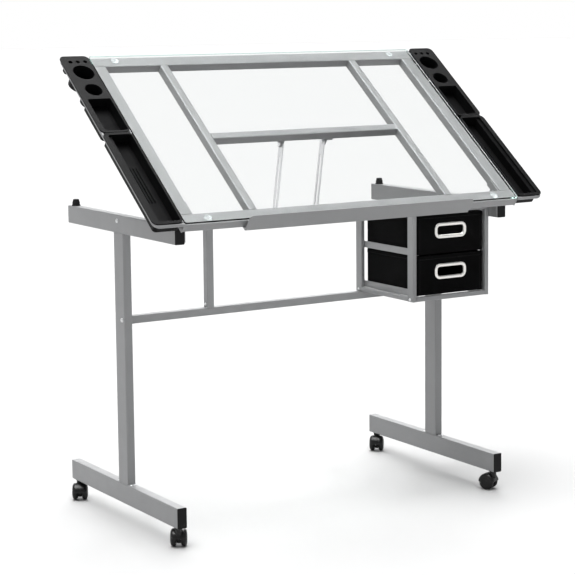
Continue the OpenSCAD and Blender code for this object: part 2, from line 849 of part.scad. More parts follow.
// Front tray: one long bin with a stepped outer side and three low pen ribs
module front_tray(side) {
    inner_len = front_tray_len - body_front_u - pocket_gap;
    mid_u = body_front_u + inner_len / 2 - tray_front_u;
    hollow_w = body_w - 2 * tray_wall;
    hollow_len = inner_len - 2 * tray_wall;
    hollow_depth = bin_depth - tray_wall;
    step_w = 10;
    step_drop = 6;
    color(BLACK)
        on_top()
            mirror([side == LEFT ? 1 : 0, 0, 0])
                translate([0, tray_front_u, tray_rise])
                    union() {
                        difference() {
                            union() {
                                tray_rim(front_tray_len);
                                translate([body_mid_x, mid_u, 0])
                                    pocket(body_w, inner_len, bin_depth, pocket_r);
                            }
                            // Shallow step along the outer side
                            translate([body_mid_x, mid_u, EPS])
                                pocket(hollow_w, hollow_len, step_drop, pocket_inner_r);
                            translate([body_mid_x - step_w / 2, mid_u, EPS])
                                pocket(hollow_w - step_w, hollow_len, hollow_depth, pocket_inner_r);
                        }
                        for (i = [-1 : 1])
                            translate([
                                body_mid_x - step_w / 2 + i * rib_pitch - rib_t / 2,
                                mid_u - rib_len / 2,
                                tray_wall - bin_depth - EPS
                            ])
                                cube([rib_t, rib_len, rib_h]);
                    }
}

// Rear tray: brush holes, a large cup, a small cup and a bin
module rear_tray(side) {
    len = tray_rear_u - rear_tray_u;
    cup_gap = 10;
    bin_start = rear_tray_u + pocket_gap;
    bin_len = cup_small_u - cup_small_r - cup_gap - bin_start;
    bin_u = bin_start + bin_len / 2;
    brush_rest_d = 20;
    brush_rest_w = body_w - 4;
    color(BLACK)
        on_top()
            mirror([side == LEFT ? 1 : 0, 0, 0])
                translate([0, 0, tray_rise])
                    difference() {
                        union() {
                            translate([0, rear_tray_u, 0])
                                tray_rim(len);
                            for (cup = [[cup_big_u, cup_big_r], [cup_small_u, cup_small_r]])
                                translate([body_mid_x, cup[0], -cup_depth])
                                    cylinder(r = cup[1] + tray_wall, h = cup_depth, $fn = FINE);
                            translate([body_mid_x, bin_u, 0])
                                pocket(body_w, bin_len, bin_depth, pocket_r);
                            translate([body_mid_x, brush_u, 0])
                                pocket(brush_rest_w, brush_rest_d, bin_depth, pocket_inner_r);
                        }
                        for (cup = [[cup_big_u, cup_big_r], [cup_small_u, cup_small_r]])
                            translate([body_mid_x, cup[0], tray_wall - cup_depth])
                                cylinder(r = cup[1], h = cup_depth, $fn = FINE);
                        translate([body_mid_x, bin_u, EPS])
                            pocket(
                                body_w - 2 * tray_wall,
                                bin_len - 2 * tray_wall,
                                bin_depth - tray_wall,
                                pocket_inner_r
                            );
                        for (i = [-1 : 1])
                            translate([body_mid_x + i * brush_pitch, brush_u, tray_wall - bin_depth])
                                cylinder(r = brush_r, h = bin_depth, $fn = FINE);
                    }
}

// Angle that stands in front of the glass. Two slotted hangers behind its front flange
// let it slide down on its screws.
module pencil_ledge() {
    bottom_n = ledge_lip - ledge_h;
    slot_r = ledge_screw_r + slot_gap;
    hanger_h = ledge_screw_n + ledge_travel + slot_r + hanger_edge - bottom_n;
    color(STEEL)
        on_top()
            difference() {
                union() {
                    translate([0, ledge_t - ledge_d, ledge_lip - ledge_h / 2])
                        rotate([90, 0, 0])
                            linear_extrude(ledge_t)
                                union() {
                                    round_rect(ledge_w, ledge_h, ledge_corner_r);
                                    translate([-ledge_w / 2, -ledge_h / 2])
                                        square([ledge_w, ledge_h / 2]);
                                }
                    translate([-ledge_w / 2, -ledge_d + ledge_t / 2, bottom_n])
                        cube([ledge_w, ledge_d - ledge_t / 2 - hanger_gap, ledge_t]);
                    for (side = [LEFT, RIGHT])
                        translate([side * ledge_screw_x, -hanger_gap - ledge_t, bottom_n])
                            translate([-hanger_w / 2, 0, 0])
                                cube([hanger_w, ledge_t, hanger_h]);
                }
                for (side = [LEFT, RIGHT])
                    translate([side * ledge_screw_x, 1 - hanger_gap, ledge_screw_n])
                        rotate([90, 0, 0])
                            linear_extrude(ledge_t + 2)
                                union() {
                                    circle(r = slot_r, $fn = COARSE);
                                    translate([-slot_r, 0])
                                        square([2 * slot_r, ledge_travel]);
                                    translate([0, ledge_travel])
                                        circle(r = slot_r, $fn = COARSE);
                                }
            }
}

module ledge_screws() {
    neck = hanger_gap + ledge_t + side_gap;
    color(STEEL_DARK)
        on_top()
            for (side = [LEFT, RIGHT])
                translate([side * ledge_screw_x, 0, ledge_screw_n])
                    rotate([90, 0, 0]) {
                        cylinder(r = ledge_spacer_r, h = hanger_gap - side_gap, $fn = FINE);
                        translate([0, 0, EPS])
                            cylinder(r = ledge_screw_r, h = neck, $fn = FINE);
                        translate([0, 0, neck])
                            pan_head(ledge_head_r, ledge_head_h);
                    }
}

// Sleeves pressed into the feet that the caster stems turn in
module caster_sockets()
    color(BLACK)
        at_stand()
            for (side = [LEFT, RIGHT], end = [FRONT, REAR])
                translate([side * foot_x, end * (foot_len / 2 - caster_inset), caster_h])
                    difference() {
                        union() {
                            cylinder(r = socket_r, h = stem_up + 2, $fn = FINE);
                            translate([0, 0, -1])
                                cylinder(r = socket_r + socket_lip, h = 1, $fn = FINE);
                        }
                        translate([0, 0, -2])
                            cylinder(r = stem_r + run_gap, h = stem_up + 2, $fn = FINE);
                    }

// Places its children on a caster's swivel axis, with the axle towards -Y of its own frame
module at_caster(corner)
    at_stand()
        translate([corner[0] * foot_x, corner[1] * (foot_len / 2 - caster_inset), 0])
            rotate([0, 0, corner[2]])
                children();

module caster_hood(corner) {
    hood_r = wheel_r + hood_gap + hood_t;
    hood_w = 2 * (wheel_w - hood_inset) + wheel_gap;
    hood_top = caster_h - hood_drop;
    web_r = wheel_r * 0.7;
    web_drop = 4;
    color(BLACK)
        at_caster(corner)
            difference() {
                union() {
                    // Arched cover over both wheels
                    translate([0, -caster_trail, wheel_r])
                        rotate([90, 0, 90])
                            linear_extrude(hood_w, center = true)
                                difference() {
                                    circle(r = hood_r, $fn = FINE);
                                    circle(r = wheel_r + hood_gap, $fn = FINE);
                                    translate([-hood_r - 1, -hood_r - 1])
                                        square([2 * hood_r + 2, hood_r + 3]);
                                }
                    // Web between the wheels
                    translate([0, -caster_trail, wheel_r])
                        rotate([90, 0, 90])
                            linear_extrude(wheel_gap - 2 * hood_gap, center = true)
                                union() {
                                    circle(r = web_r, $fn = FINE);
                                    translate([-web_r, 0])
                                        square([2 * web_r, wheel_r + hood_gap + 1]);
                                    translate([0, -web_drop])
                                        square([caster_trail + stem_r, wheel_r + 2 * web_drop]);
                                }
                    cylinder(r = stem_r + neck_wall, h = hood_top, $fn = FINE);
                    cylinder(r = stem_r, h = caster_h + stem_up - 2, $fn = FINE);
                }
                translate([0, 0, -1])
                    cylinder(r = stem_r + neck_wall + 2, h = wheel_r - hood_t, $fn = FINE);
                translate([-wheel_gap, -caster_trail, wheel_r])
                    rod_x(axle_r + run_gap, 2 * wheel_gap);
                // Room for the wheels beside the web
                for (s = [-1, 1])
                    translate([s * (wheel_gap + wheel_w) / 2 - wheel_w / 2, -caster_trail, wheel_r])
                        rod_x(wheel_r + hood_gap, wheel_w);
            }
}

module caster_wheels(corner) {
    color(BLACK)
        at_caster(corner)
            translate([0, -caster_trail, wheel_r])
                rotate([0, 90, 0]) {
                    cylinder(r = axle_r, h = wheel_gap + 2, center = true, $fn = FINE);
                    for (s = [-1, 1])
                        translate([0, 0, s * (wheel_gap + wheel_w) / 2])
                            rotate_extrude($fn = FINE)
                                polygon([
                                    [0, -wheel_w / 2],
                                    [wheel_r - tread_chamfer, -wheel_w / 2],
                                    [wheel_r, -wheel_w / 2 + tread_chamfer],
                                    [wheel_r, wheel_w / 2 - tread_chamfer],
                                    [wheel_r - tread_chamfer, wheel_w / 2],
                                    [0, wheel_w / 2]
                                ]);
                }
}

foot(LEFT);  // foot_left
foot(RIGHT);  // foot_right
upright(LEFT);  // upright_left
upright(RIGHT);  // upright_right
side_rail(LEFT);  // side_rail_left
side_rail(RIGHT);  // side_rail_right
crossbar(lower_cross_top, upright_inner_x);  // lower_crossbar
crossbar(upper_cross_top, rail_inner_x);  // upper_crossbar
centre_post();
foot_end_caps();
rail_end_caps();
rest_bumpers();
frame_bolts();
front_drawer_post(LEFT);  // drawer_post_front_left
front_drawer_post(RIGHT);  // drawer_post_front_right
rear_drawer_post(LEFT);  // drawer_post_rear_left
rear_drawer_post(RIGHT);  // drawer_post_rear_right
drawer_stand_rails();
drawer_runners();
drawer(1);  // upper_drawer
drawer(0);  // lower_drawer
drawer_grip(1);  // upper_drawer_grip
drawer_grip(0);  // lower_drawer_grip
top_bar_across(frame_w / 2);  // top_front_bar
top_bar_across(glass_d - frame_w / 2);  // top_rear_bar
top_bar_side(LEFT);  // top_left_bar
top_bar_side(RIGHT);  // top_right_bar
top_cross_bar(LEFT);  // top_cross_bar_left
top_cross_bar(RIGHT);  // top_cross_bar_right
top_stay_bar();
glass_top();
glass_bumpers();
hinge_brackets();
hinge_ears();
hinge_pins();
stay(LEFT);  // stay_left
stay(RIGHT);  // stay_right
stay_lugs();
stay_pins();
stay_brackets();
stay_studs();
stay_knob(LEFT);  // stay_knob_left
stay_knob(RIGHT);  // stay_knob_right
tray_rod(LEFT);  // tray_rod_left
tray_rod(RIGHT);  // tray_rod_right
front_tray(LEFT);  // front_tray_left
rear_tray(LEFT);  // rear_tray_left
front_tray(RIGHT);  // front_tray_right
rear_tray(RIGHT);  // rear_tray_right
pencil_ledge();
ledge_screws();
caster_sockets();
caster_hood(caster_turn[0]);  // caster_hood_front_left
caster_hood(caster_turn[1]);  // caster_hood_front_right
caster_hood(caster_turn[2]);  // caster_hood_rear_left
caster_hood(caster_turn[3]);  // caster_hood_rear_right
caster_wheels(caster_turn[0]);  // caster_wheels_front_left
caster_wheels(caster_turn[1]);  // caster_wheels_front_right
caster_wheels(caster_turn[2]);  // caster_wheels_rear_left
caster_wheels(caster_turn[3]);  // caster_wheels_rear_right
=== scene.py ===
"""Looks of a tilting glass-topped drafting table on casters.

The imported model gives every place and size. The script dresses the steel, plastic and
glass, and builds what needs sewing, turning or moulding in mesh code: fabric drawers,
grip rings, clear bumpers, rubber stops, end caps, bolts, weld beads and casters.
"""

from __future__ import annotations

import json
import logging
import math
import random
from collections.abc import Iterable, Sequence
from dataclasses import dataclass, field
from enum import Enum

import bmesh
import bpy
from mathutils import Matrix, Vector, noise


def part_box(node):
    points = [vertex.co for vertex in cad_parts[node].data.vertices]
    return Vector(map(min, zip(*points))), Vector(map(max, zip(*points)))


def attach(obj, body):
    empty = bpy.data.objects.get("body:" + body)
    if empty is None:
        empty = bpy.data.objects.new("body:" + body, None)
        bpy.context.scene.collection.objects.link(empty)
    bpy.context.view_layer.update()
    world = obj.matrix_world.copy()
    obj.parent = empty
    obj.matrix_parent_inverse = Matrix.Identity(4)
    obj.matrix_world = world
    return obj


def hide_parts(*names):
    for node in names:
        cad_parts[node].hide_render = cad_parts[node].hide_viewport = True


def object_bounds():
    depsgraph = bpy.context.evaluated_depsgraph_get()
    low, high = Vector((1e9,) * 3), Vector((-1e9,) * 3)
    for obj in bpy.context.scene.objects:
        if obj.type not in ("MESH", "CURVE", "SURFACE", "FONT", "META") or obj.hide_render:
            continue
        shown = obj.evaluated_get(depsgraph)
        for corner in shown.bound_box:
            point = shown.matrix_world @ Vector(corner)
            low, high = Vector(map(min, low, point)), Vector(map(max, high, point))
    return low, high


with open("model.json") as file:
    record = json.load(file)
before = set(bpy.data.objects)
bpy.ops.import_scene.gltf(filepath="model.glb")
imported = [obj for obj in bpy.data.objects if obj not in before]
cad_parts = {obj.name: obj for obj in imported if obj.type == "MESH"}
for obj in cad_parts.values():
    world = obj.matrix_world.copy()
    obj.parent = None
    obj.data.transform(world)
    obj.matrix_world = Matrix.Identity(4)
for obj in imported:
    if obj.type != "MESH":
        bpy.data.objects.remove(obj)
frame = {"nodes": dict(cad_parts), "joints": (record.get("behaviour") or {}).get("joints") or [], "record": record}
cad_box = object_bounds()

MM = 0.001
SMOOTH_ANGLE = math.radians(38)
log = logging.getLogger("drafting_table")

Point = Sequence[float]
Outline = list[tuple[float, float]]
Ring = list[Vector]
Socket = bpy.types.NodeSocket
Tone = tuple[float, float, float]


class Corner(Enum):
    """The four casters, named as their joints and nodes are."""

    FRONT_LEFT = "front_left"
    FRONT_RIGHT = "front_right"
    REAR_LEFT = "rear_left"
    REAR_RIGHT = "rear_right"


class Level(Enum):
    """The two drawers."""

    UPPER = "upper"
    LOWER = "lower"


# ---------------------------------------------------------------- finishes


class Graph:
    """A material's node tree, with short calls for what the finishes use."""

    def __init__(self, name: str) -> None:
        """Makes an empty Principled material.

        Args:
            name: The material's name.
        """
        self.material = bpy.data.materials.new(name)
        self.material.use_nodes = True
        self.tree = self.material.node_tree
        self.shader = next(n for n in self.tree.nodes if n.type == "BSDF_PRINCIPLED")
        self.output = next(n for n in self.tree.nodes if n.type == "OUTPUT_MATERIAL")
        self.place = self.add("ShaderNodeTexCoord").outputs["Object"]
        self.normal: Socket | None = None

    def add(self, kind: str, **settings: object) -> bpy.types.Node:
        """Adds a node.

        Args:
            kind: The node's type name.
            settings: Properties to set on it.

        Returns:
            The new node.
        """
        node = self.tree.nodes.new(kind)
        for name, value in settings.items():
            setattr(node, name, value)
        return node

    def link(self, source: Socket, target: Socket) -> None:
        """Joins an output to an input."""
        self.tree.links.new(source, target)

    def constants(self, **values: object) -> None:
        """Sets plain values on the shader's own sockets.

        Args:
            values: Value of each socket, its name written with _ for a space.
        """
        for name, value in values.items():
            self.shader.inputs[name.replace("_", " ")].default_value = value

    def stretched(self, scale: Point) -> Socket:
        """Places scaled differently along X, Y and Z, for a grain with a direction.

        Args:
            scale: Scale along each axis.

        Returns:
            The scaled place's socket.
        """
        mapping = self.add("ShaderNodeMapping")
        mapping.inputs["Scale"].default_value = scale
        self.link(self.place, mapping.inputs["Vector"])
        return mapping.outputs["Vector"]

    def noise(self, scale: float, detail: float = 2.0, place: Socket | None = None) -> Socket:
        """A noise value from 0 to 1.

        Args:
            scale: Features per metre.
            detail: Octaves.
            place: Where to read it, or None for the piece's own place.

        Returns:
            The value's socket.
        """
        node = self.add("ShaderNodeTexNoise")
        node.inputs["Scale"].default_value = scale
        node.inputs["Detail"].default_value = detail
        self.link(place or self.place, node.inputs["Vector"])
        return node.outputs["Fac"]

    def cells(self, scale: float, place: Socket | None = None) -> Socket:
        """The distance to the nearest of many scattered points, for dots and pores.

        Args:
            scale: Points per metre.
            place: Where to read it, or None for the piece's own place.

        Returns:
            The distance's socket.
        """
        node = self.add("ShaderNodeTexVoronoi")
        node.inputs["Scale"].default_value = scale
        self.link(place or self.place, node.inputs["Vector"])
        return node.outputs["Distance"]

    def spread(self, value: Socket, low: float, high: float, at: Point = (0.3, 0.7)) -> Socket:
        """Maps a value to a range.

        Args:
            value: The value's socket.
            low: Result at the lower end.
            high: Result at the upper end.
            at: The value's two ends.

        Returns:
            The mapped value's socket.
        """
        node = self.add("ShaderNodeMapRange")
        node.inputs["From Min"].default_value, node.inputs["From Max"].default_value = at
        node.inputs["To Min"].default_value = low
        node.inputs["To Max"].default_value = high
        self.link(value, node.inputs["Value"])
        return node.outputs["Result"]

    def blend(self, share: Socket, a: Point, b: Point) -> Socket:
        """A colour between a and b.

        Args:
            share: 0 gives a and 1 gives b.
            a: First colour.
            b: Second colour.

        Returns:
            The colour's socket.
        """
        node = self.add("ShaderNodeMix", data_type="RGBA")
        self.link(share, node.inputs[0])
        node.inputs[6].default_value = (*a, 1)
        node.inputs[7].default_value = (*b, 1)
        return node.outputs[2]

    def soften_edges(self, radius: float) -> None:
        """Rounds the light on sharp edges, as a tool's radius does.

        Args:
            radius: The radius that the light sees.
        """
        node = self.add("ShaderNodeBevel", samples=4)
        node.inputs["Radius"].default_value = radius
        self.normal = node.outputs["Normal"]
        self.link(self.normal, self.shader.inputs["Normal"])

    def relief(self, height: Socket, depth: float, strength: float = 1.0) -> None:
        """Adds small relief on top of what is there.

        Args:
            height: The relief's height, from 0 to 1.
            depth: How deep 1 is, in metres.
            strength: How much of it shows.
        """
        node = self.add("ShaderNodeBump")
        node.inputs["Strength"].default_value = strength
        node.inputs["Distance"].default_value = depth
        self.link(height, node.inputs["Height"])
        if self.normal is not None:
            self.link(self.normal, node.inputs["Normal"])
        self.normal = node.outputs["Normal"]
        self.link(self.normal, self.shader.inputs["Normal"])

    def colour(self, socket: Socket) -> None:
        """Gives the shader its colour."""
        self.link(socket, self.shader.inputs["Base Color"])

    def roughness(self, socket: Socket) -> None:
        """Gives the shader its roughness."""
        self.link(socket, self.shader.inputs["Roughness"])

    def let_lamps_through(self, tint: Point) -> None:
        """Lets lamps reach what is behind a clear piece.

        Args:
            tint: Colour of the light that passes.
        """
        clear = self.add("ShaderNodeBsdfTransparent")
        clear.inputs["Color"].default_value = (*tint, 1)
        rays = self.add("ShaderNodeLightPath")
        mix = self.add("ShaderNodeMixShader")
        self.link(rays.outputs["Is Shadow Ray"], mix.inputs[0])
        self.link(self.shader.outputs[0], mix.inputs[1])
        self.link(clear.outputs[0], mix.inputs[2])
        self.link(mix.outputs[0], self.output.inputs["Surface"])


def shade(colour: Point, share: float) -> Tone:
    """A colour made lighter or darker, by a share of 1 for no change."""
    return tuple(min(1.0, c * share) for c in colour)


@dataclass(frozen=True)
class Finish:
    """A surface finish, which knows how to build its material."""

    name: str
    slot: str
    tone: Tone = (0.5, 0.5, 0.5)
    rough: float = 0.5
    gloss: float = 0.5

    def build(self, g: Graph) -> None:
        """Sets up the material's nodes."""
        raise NotImplementedError(self.name)


@dataclass(frozen=True)
class PowderCoat(Finish):
    """Satin silver-grey powder coat on steel: fine orange peel and a little flake."""

    metal: float = 0.15
    edge: float = 0.6 * MM

    def build(self, g: Graph) -> None:
        """Sets up the coat's colour drift, flake and peel.

        Args:
            g: The graph of the material.
        """
        g.constants(Metallic=self.metal, Specular_IOR_Level=self.gloss)
        drift = g.noise(7, 3)
        flake = g.noise(2600, 1)
        mixed = g.add("ShaderNodeMath", operation="ADD")
        g.link(g.spread(drift, 0.0, 0.5), mixed.inputs[0])
        g.link(g.spread(flake, 0.0, 0.5), mixed.inputs[1])
        g.colour(g.blend(mixed.outputs[0], shade(self.tone, 0.93), shade(self.tone, 1.06)))
        g.roughness(g.spread(g.noise(34, 4), self.rough - 0.05, self.rough + 0.06))
        g.soften_edges(self.edge)
        g.relief(g.noise(420, 2), 0.12 * MM, 0.22)
        g.relief(flake, 0.03 * MM, 0.2)


@dataclass(frozen=True)
class Plating(Finish):
    """Zinc or nickel plate: drawn streaks, small specks and soft edges."""

    grain: tuple[float, float, float] = (300, 300, 30)
    edge: float = 0.4 * MM

    def build(self, g: Graph) -> None:
        """Sets up the plate's streaks.

        Args:
            g: The graph of the material.
        """
        g.constants(Metallic=1.0)
        streaks = g.noise(9, 3, g.stretched(self.grain))
        g.colour(g.blend(streaks, shade(self.tone, 0.88), shade(self.tone, 1.08)))
        g.roughness(g.spread(streaks, self.rough - 0.06, self.rough + 0.1))
        g.soften_edges(self.edge)
        g.relief(streaks, 0.02 * MM, 0.25)
        g.relief(g.noise(900, 2), 0.02 * MM, 0.2)


@dataclass(frozen=True)
class Moulded(Finish):
    """Moulded plastic: a spark-eroded grain, faint rub marks and a soft edge."""

    grain: float = 1500.0
    grain_depth: float = 0.06 * MM
    edge: float = 0.5 * MM

    def build(self, g: Graph) -> None:
        """Sets up the grain and the rubbed patches.

        Args:
            g: The graph of the material.
        """
        g.constants(Specular_IOR_Level=self.gloss)
        rubbed = g.noise(26, 5)
        g.colour(g.blend(g.spread(rubbed, 0, 1), shade(self.tone, 0.85), shade(self.tone, 1.25)))
        g.roughness(g.spread(g.noise(60, 4), self.rough + 0.05, self.rough - 0.06))
        g.soften_edges(self.edge)
        g.relief(g.noise(self.grain, 3), self.grain_depth, 0.35)
        g.relief(g.noise(12, 1), 0.3 * MM, 0.06)


@dataclass(frozen=True)
class Rubber(Finish):
    """Dull black rubber with a dusty bloom."""

    def build(self, g: Graph) -> None:
        """Sets up the bloom and the pores.

        Args:
            g: The graph of the material.
        """
        g.constants(Specular_IOR_Level=self.gloss)
        bloom = g.noise(180, 4)
        g.colour(g.blend(g.spread(bloom, 0, 1), self.tone, shade(self.tone, 1.9)))
        g.roughness(g.spread(bloom, self.rough - 0.08, self.rough + 0.08))
        g.soften_edges(0.6 * MM)
        g.relief(g.cells(1300), 0.05 * MM, 0.3)


@dataclass(frozen=True)
class NonWoven(Finish):
    """Spun-bonded black cloth: a lattice of pressed dots over matted fibres."""

    dots: float = 430.0

    def build(self, g: Graph) -> None:
        """Sets up the dots, the fibres and the sheen.

        Args:
            g: The graph of the material.
        """
        g.constants(Sheen_Weight=0.012, Sheen_Roughness=0.5, Specular_IOR_Level=self.gloss)
        fibres = g.noise(1700, 4, g.stretched((1.0, 1.0, 0.45)))
        dots = g.cells(self.dots, g.stretched((1.0, 1.0, 1.35)))
        pressed = g.spread(dots, 0.0, 1.0, (0.12, 0.4))
        worn = g.noise(14, 4)
        mixed = g.add("ShaderNodeMath", operation="MULTIPLY_ADD")
        g.link(fibres, mixed.inputs[0])
        mixed.inputs[1].default_value = 0.6
        g.link(g.spread(worn, -0.15, 0.45), mixed.inputs[2])
        g.colour(g.blend(mixed.outputs[0], shade(self.tone, 0.6), shade(self.tone, 1.8)))
        g.roughness(g.spread(pressed, self.rough - 0.22, self.rough))
        g.relief(pressed, 0.18 * MM, 0.55)
        g.relief(fibres, 0.1 * MM, 0.35)
        g.relief(g.noise(38, 2), 0.9 * MM, 0.2)


@dataclass(frozen=True)
class Thread(Finish):
    """Twisted sewing thread."""

    def build(self, g: Graph) -> None:
        """Sets up the twist.

        Args:
            g: The graph of the material.
        """
        g.constants(Sheen_Weight=0.1, Specular_IOR_Level=self.gloss)
        twist = g.add("ShaderNodeTexWave", bands_direction="DIAGONAL")
        twist.inputs["Scale"].default_value = 900
        g.link(g.place, twist.inputs["Vector"])
        g.colour(g.blend(twist.outputs["Fac"], shade(self.tone, 0.6), shade(self.tone, 1.5)))
        g.constants(Roughness=self.rough)
        g.relief(twist.outputs["Fac"], 0.1 * MM, 0.5)


@dataclass(frozen=True)
class ClearPane(Finish):
    """Clear tempered glass, green at its polished edges, with a few smears."""

    edge_tone: Tone = (0.5, 0.8, 0.72)
    # Low, so that the lamps' mirror image stays faint, as on coated glass
    index: float = 1.18
    face: tuple[float, float, float] = (0.0, -0.607, 0.794)

    def build(self, g: Graph) -> None:
        """Sets up the clear faces and the green edge.

        Args:
            g: The graph of the material.
        """
        g.constants(Transmission_Weight=1.0, IOR=self.index)
        geometry = g.add("ShaderNodeNewGeometry")
        along = g.add("ShaderNodeVectorMath", operation="DOT_PRODUCT")
        g.link(geometry.outputs["True Normal"], along.inputs[0])
        along.inputs[1].default_value = self.face
        flat = g.add("ShaderNodeMath", operation="ABSOLUTE")
        g.link(along.outputs["Value"], flat.inputs[0])
        g.colour(g.blend(flat.outputs[0], self.edge_tone, self.tone))
        g.roughness(g.spread(g.noise(5, 4), 0.0, 0.035, (0.45, 0.8)))
        g.let_lamps_through(shade(self.tone, 0.97))


@dataclass(frozen=True)
class ClearVinyl(Finish):
    """Soft clear vinyl: bright and slightly milky."""

    def build(self, g: Graph) -> None:
        """Sets up the milky clear body.

        Args:
            g: The graph of the material.
        """
        g.constants(Transmission_Weight=0.75, IOR=1.5)
        cloud = g.noise(160, 2)
        g.colour(g.blend(cloud, shade(self.tone, 0.94), self.tone))
        g.roughness(g.spread(cloud, self.rough, self.rough + 0.1))
        g.relief(cloud, 0.2 * MM, 0.2)
        g.let_lamps_through(shade(self.tone, 0.9))


@dataclass(frozen=True)
class Backdrop(Finish):
    """The studio floor."""

    def build(self, g: Graph) -> None:
        """Sets up the pale floor.

        Args:
            g: The graph of the material.
        """
        g.constants(Roughness=self.rough, Specular_IOR_Level=0.0)
        g.colour(g.blend(g.noise(0.6, 1), shade(self.tone, 0.998), self.tone))


STEEL = PowderCoat("silver_powder_coat", "frame_paint", (0.218, 0.220, 0.223), 0.34)
ZINC = Plating("zinc_plate", "zinc_steel", (0.78, 0.78, 0.79), 0.28)
CAP_PLASTIC = Moulded("cap_plastic", "black_plastic", (0.006, 0.006, 0.0063), 0.45, 0.14)
TRAY_PLASTIC = Moulded("tray_plastic", "tray_plastic", (0.004, 0.004, 0.0043), 0.4, 0.08, 1100.0, 0.09 * MM)
NYLON = Moulded("caster_nylon", "caster_plastic", (0.006, 0.006, 0.006), 0.3, 0.3, 2200.0, 0.03 * MM)
TREAD = Moulded("caster_tread", "caster_wheel", (0.007, 0.007, 0.007), 0.42, 0.25, 900.0, 0.08 * MM)
STOP_RUBBER = Rubber("stop_rubber", "rubber", (0.007, 0.007, 0.007), 0.78, 0.2)
PANE = ClearPane("clear_glass", "glass", (0.868, 0.877, 0.874))
VINYL = ClearVinyl("clear_vinyl", "clear_bumper", (0.86, 0.885, 0.89), 0.1)
CLOTH = NonWoven("non_woven_cloth", "drawer_fabric", (0.0022, 0.0022, 0.0023), 0.92, 0.03)
THREAD = Thread("black_thread", "drawer_fabric", (0.009, 0.009, 0.0095), 0.6, 0.2)
NICKEL = Plating("satin_nickel", "grip_metal", (0.8, 0.785, 0.755), 0.32, 0.5, (60, 300, 300))
FLOOR = Backdrop("studio_floor", "", (0.45, 0.45, 0.45), 1.0)
MOULDED = (CAP_PLASTIC, TRAY_PLASTIC, NYLON, TREAD, STOP_RUBBER)
NODE_FINISHES = (STEEL, ZINC, *MOULDED, PANE, VINYL, CLOTH, NICKEL)


class PaintShop:
    """Makes each finish's material once and hands it out."""

    def __init__(self) -> None:
        """Starts with no material made."""
        self.made: dict[str, bpy.types.Material] = {}

    def material(self, finish: Finish) -> bpy.types.Material:
        """The finish's material.

        Args:
            finish: The finish wanted.

        Returns:
            Its material, made on the first call.
        """
        if finish.name not in self.made:
            graph = Graph(finish.name)
            finish.build(graph)
            self.made[finish.name] = graph.material
        return self.made[finish.name]

    def dress(self, piece: bpy.types.Object, finish: Finish) -> None:
        """Puts a finish on a piece in place of what it had.

        Args:
            piece: The piece.
            finish: Its new finish.
        """
        slots = piece.material_slots
        if slots:
            for entry in slots:
                entry.material = self.material(finish)
        else:
            piece.data.materials.append(self.material(finish))


SHOP = PaintShop()


# ---------------------------------------------------------------- mesh work


class Mould:
    """Collects the faces of one piece and turns them into a Blender object."""

    def __init__(self, name: str) -> None:
        """Starts an empty piece.

        Args:
            name: The piece's name.
        """
        self.name = name
        self.mesh = bmesh.new()

    def ring(self, points: Iterable[Vector]) -> list[bmesh.types.BMVert]:
        """Adds a row of vertices."""
        return [self.mesh.verts.new(p) for p in points]

    def skin(self, a: list, b: list, closed: bool = True) -> None:
        """Joins two rows of the same length with quads.

        Args:
            a: First row.
            b: Second row.
            closed: Whether the rows close on themselves.
        """
        count = len(a)
        for i in range(count if closed else count - 1):
            j = (i + 1) % count
            self.mesh.faces.new((a[i], a[j], b[j], b[i]))

    def loft(self, rings: Sequence[Iterable[Vector]], closed: bool = True, ends: bool = True) -> None:
        """Skins a series of rings.

        Args:
            rings: The rings, in order.
            closed: Whether the last ring joins the first, as on a hoop.
            ends: Whether an open series is capped.
        """
        rows = [self.ring(points) for points in rings]
        for a, b in zip(rows, rows[1:]):
            self.skin(a, b)
        if closed:
            self.skin(rows[-1], rows[0])
        elif ends:
            self.mesh.faces.new(list(reversed(rows[0])))
            self.mesh.faces.new(rows[-1])

    def lathe(self, profile: Sequence[Point], place: Matrix, steps: int = 48) -> None:
        """Turns a profile round the Z axis of a place.

        Args:
            profile: (radius, height) pairs; a radius of 0 is a point on the axis.
            place: Where the axis is.
            steps: Steps round.
        """
        previous: list | None = None
        for radius, height in profile:
            if radius <= 0:
                row = self.ring([place @ Vector((0, 0, height))]) * steps
            else:
                turns = [2 * math.pi * i / steps for i in range(steps)]
                row = self.ring(
                    place @ Vector((radius * math.cos(t), radius * math.sin(t), height)) for t in turns
                )
            if previous is not None:
                for i in range(steps):
                    j = (i + 1) % steps
                    corners = dict.fromkeys((previous[i], previous[j], row[j], row[i]))
                    if len(corners) > 2:
                        self.mesh.faces.new(list(corners))
            previous = row

    def done(
        self, body: str, finish: Finish, replaces: Sequence[str] = (), sharp: float = SMOOTH_ANGLE
    ) -> bpy.types.Object:
        """Makes the object, dresses it and lets it ride.

        Args:
            body: The body that it moves with.
            finish: Its finish.
            replaces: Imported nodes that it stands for.
            sharp: Edges that turn more than this stay sharp.

        Returns:
            The new object.
        """
        bmesh.ops.recalc_face_normals(self.mesh, faces=self.mesh.faces)
        for face in self.mesh.faces:
            face.smooth = True
        for edge in self.mesh.edges:
            edge.smooth = edge.calc_face_angle(0.0) < sharp
        data = bpy.data.meshes.new(self.name)
        self.mesh.to_mesh(data)
        self.mesh.free()
        piece = bpy.data.objects.new(self.name, data)
        bpy.context.scene.collection.objects.link(piece)
        SHOP.dress(piece, finish)
        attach(piece, body)
        if replaces:
            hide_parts(*replaces)
        log.info("%s: %d faces, rides on %s", self.name, len(data.polygons), body)
        return piece


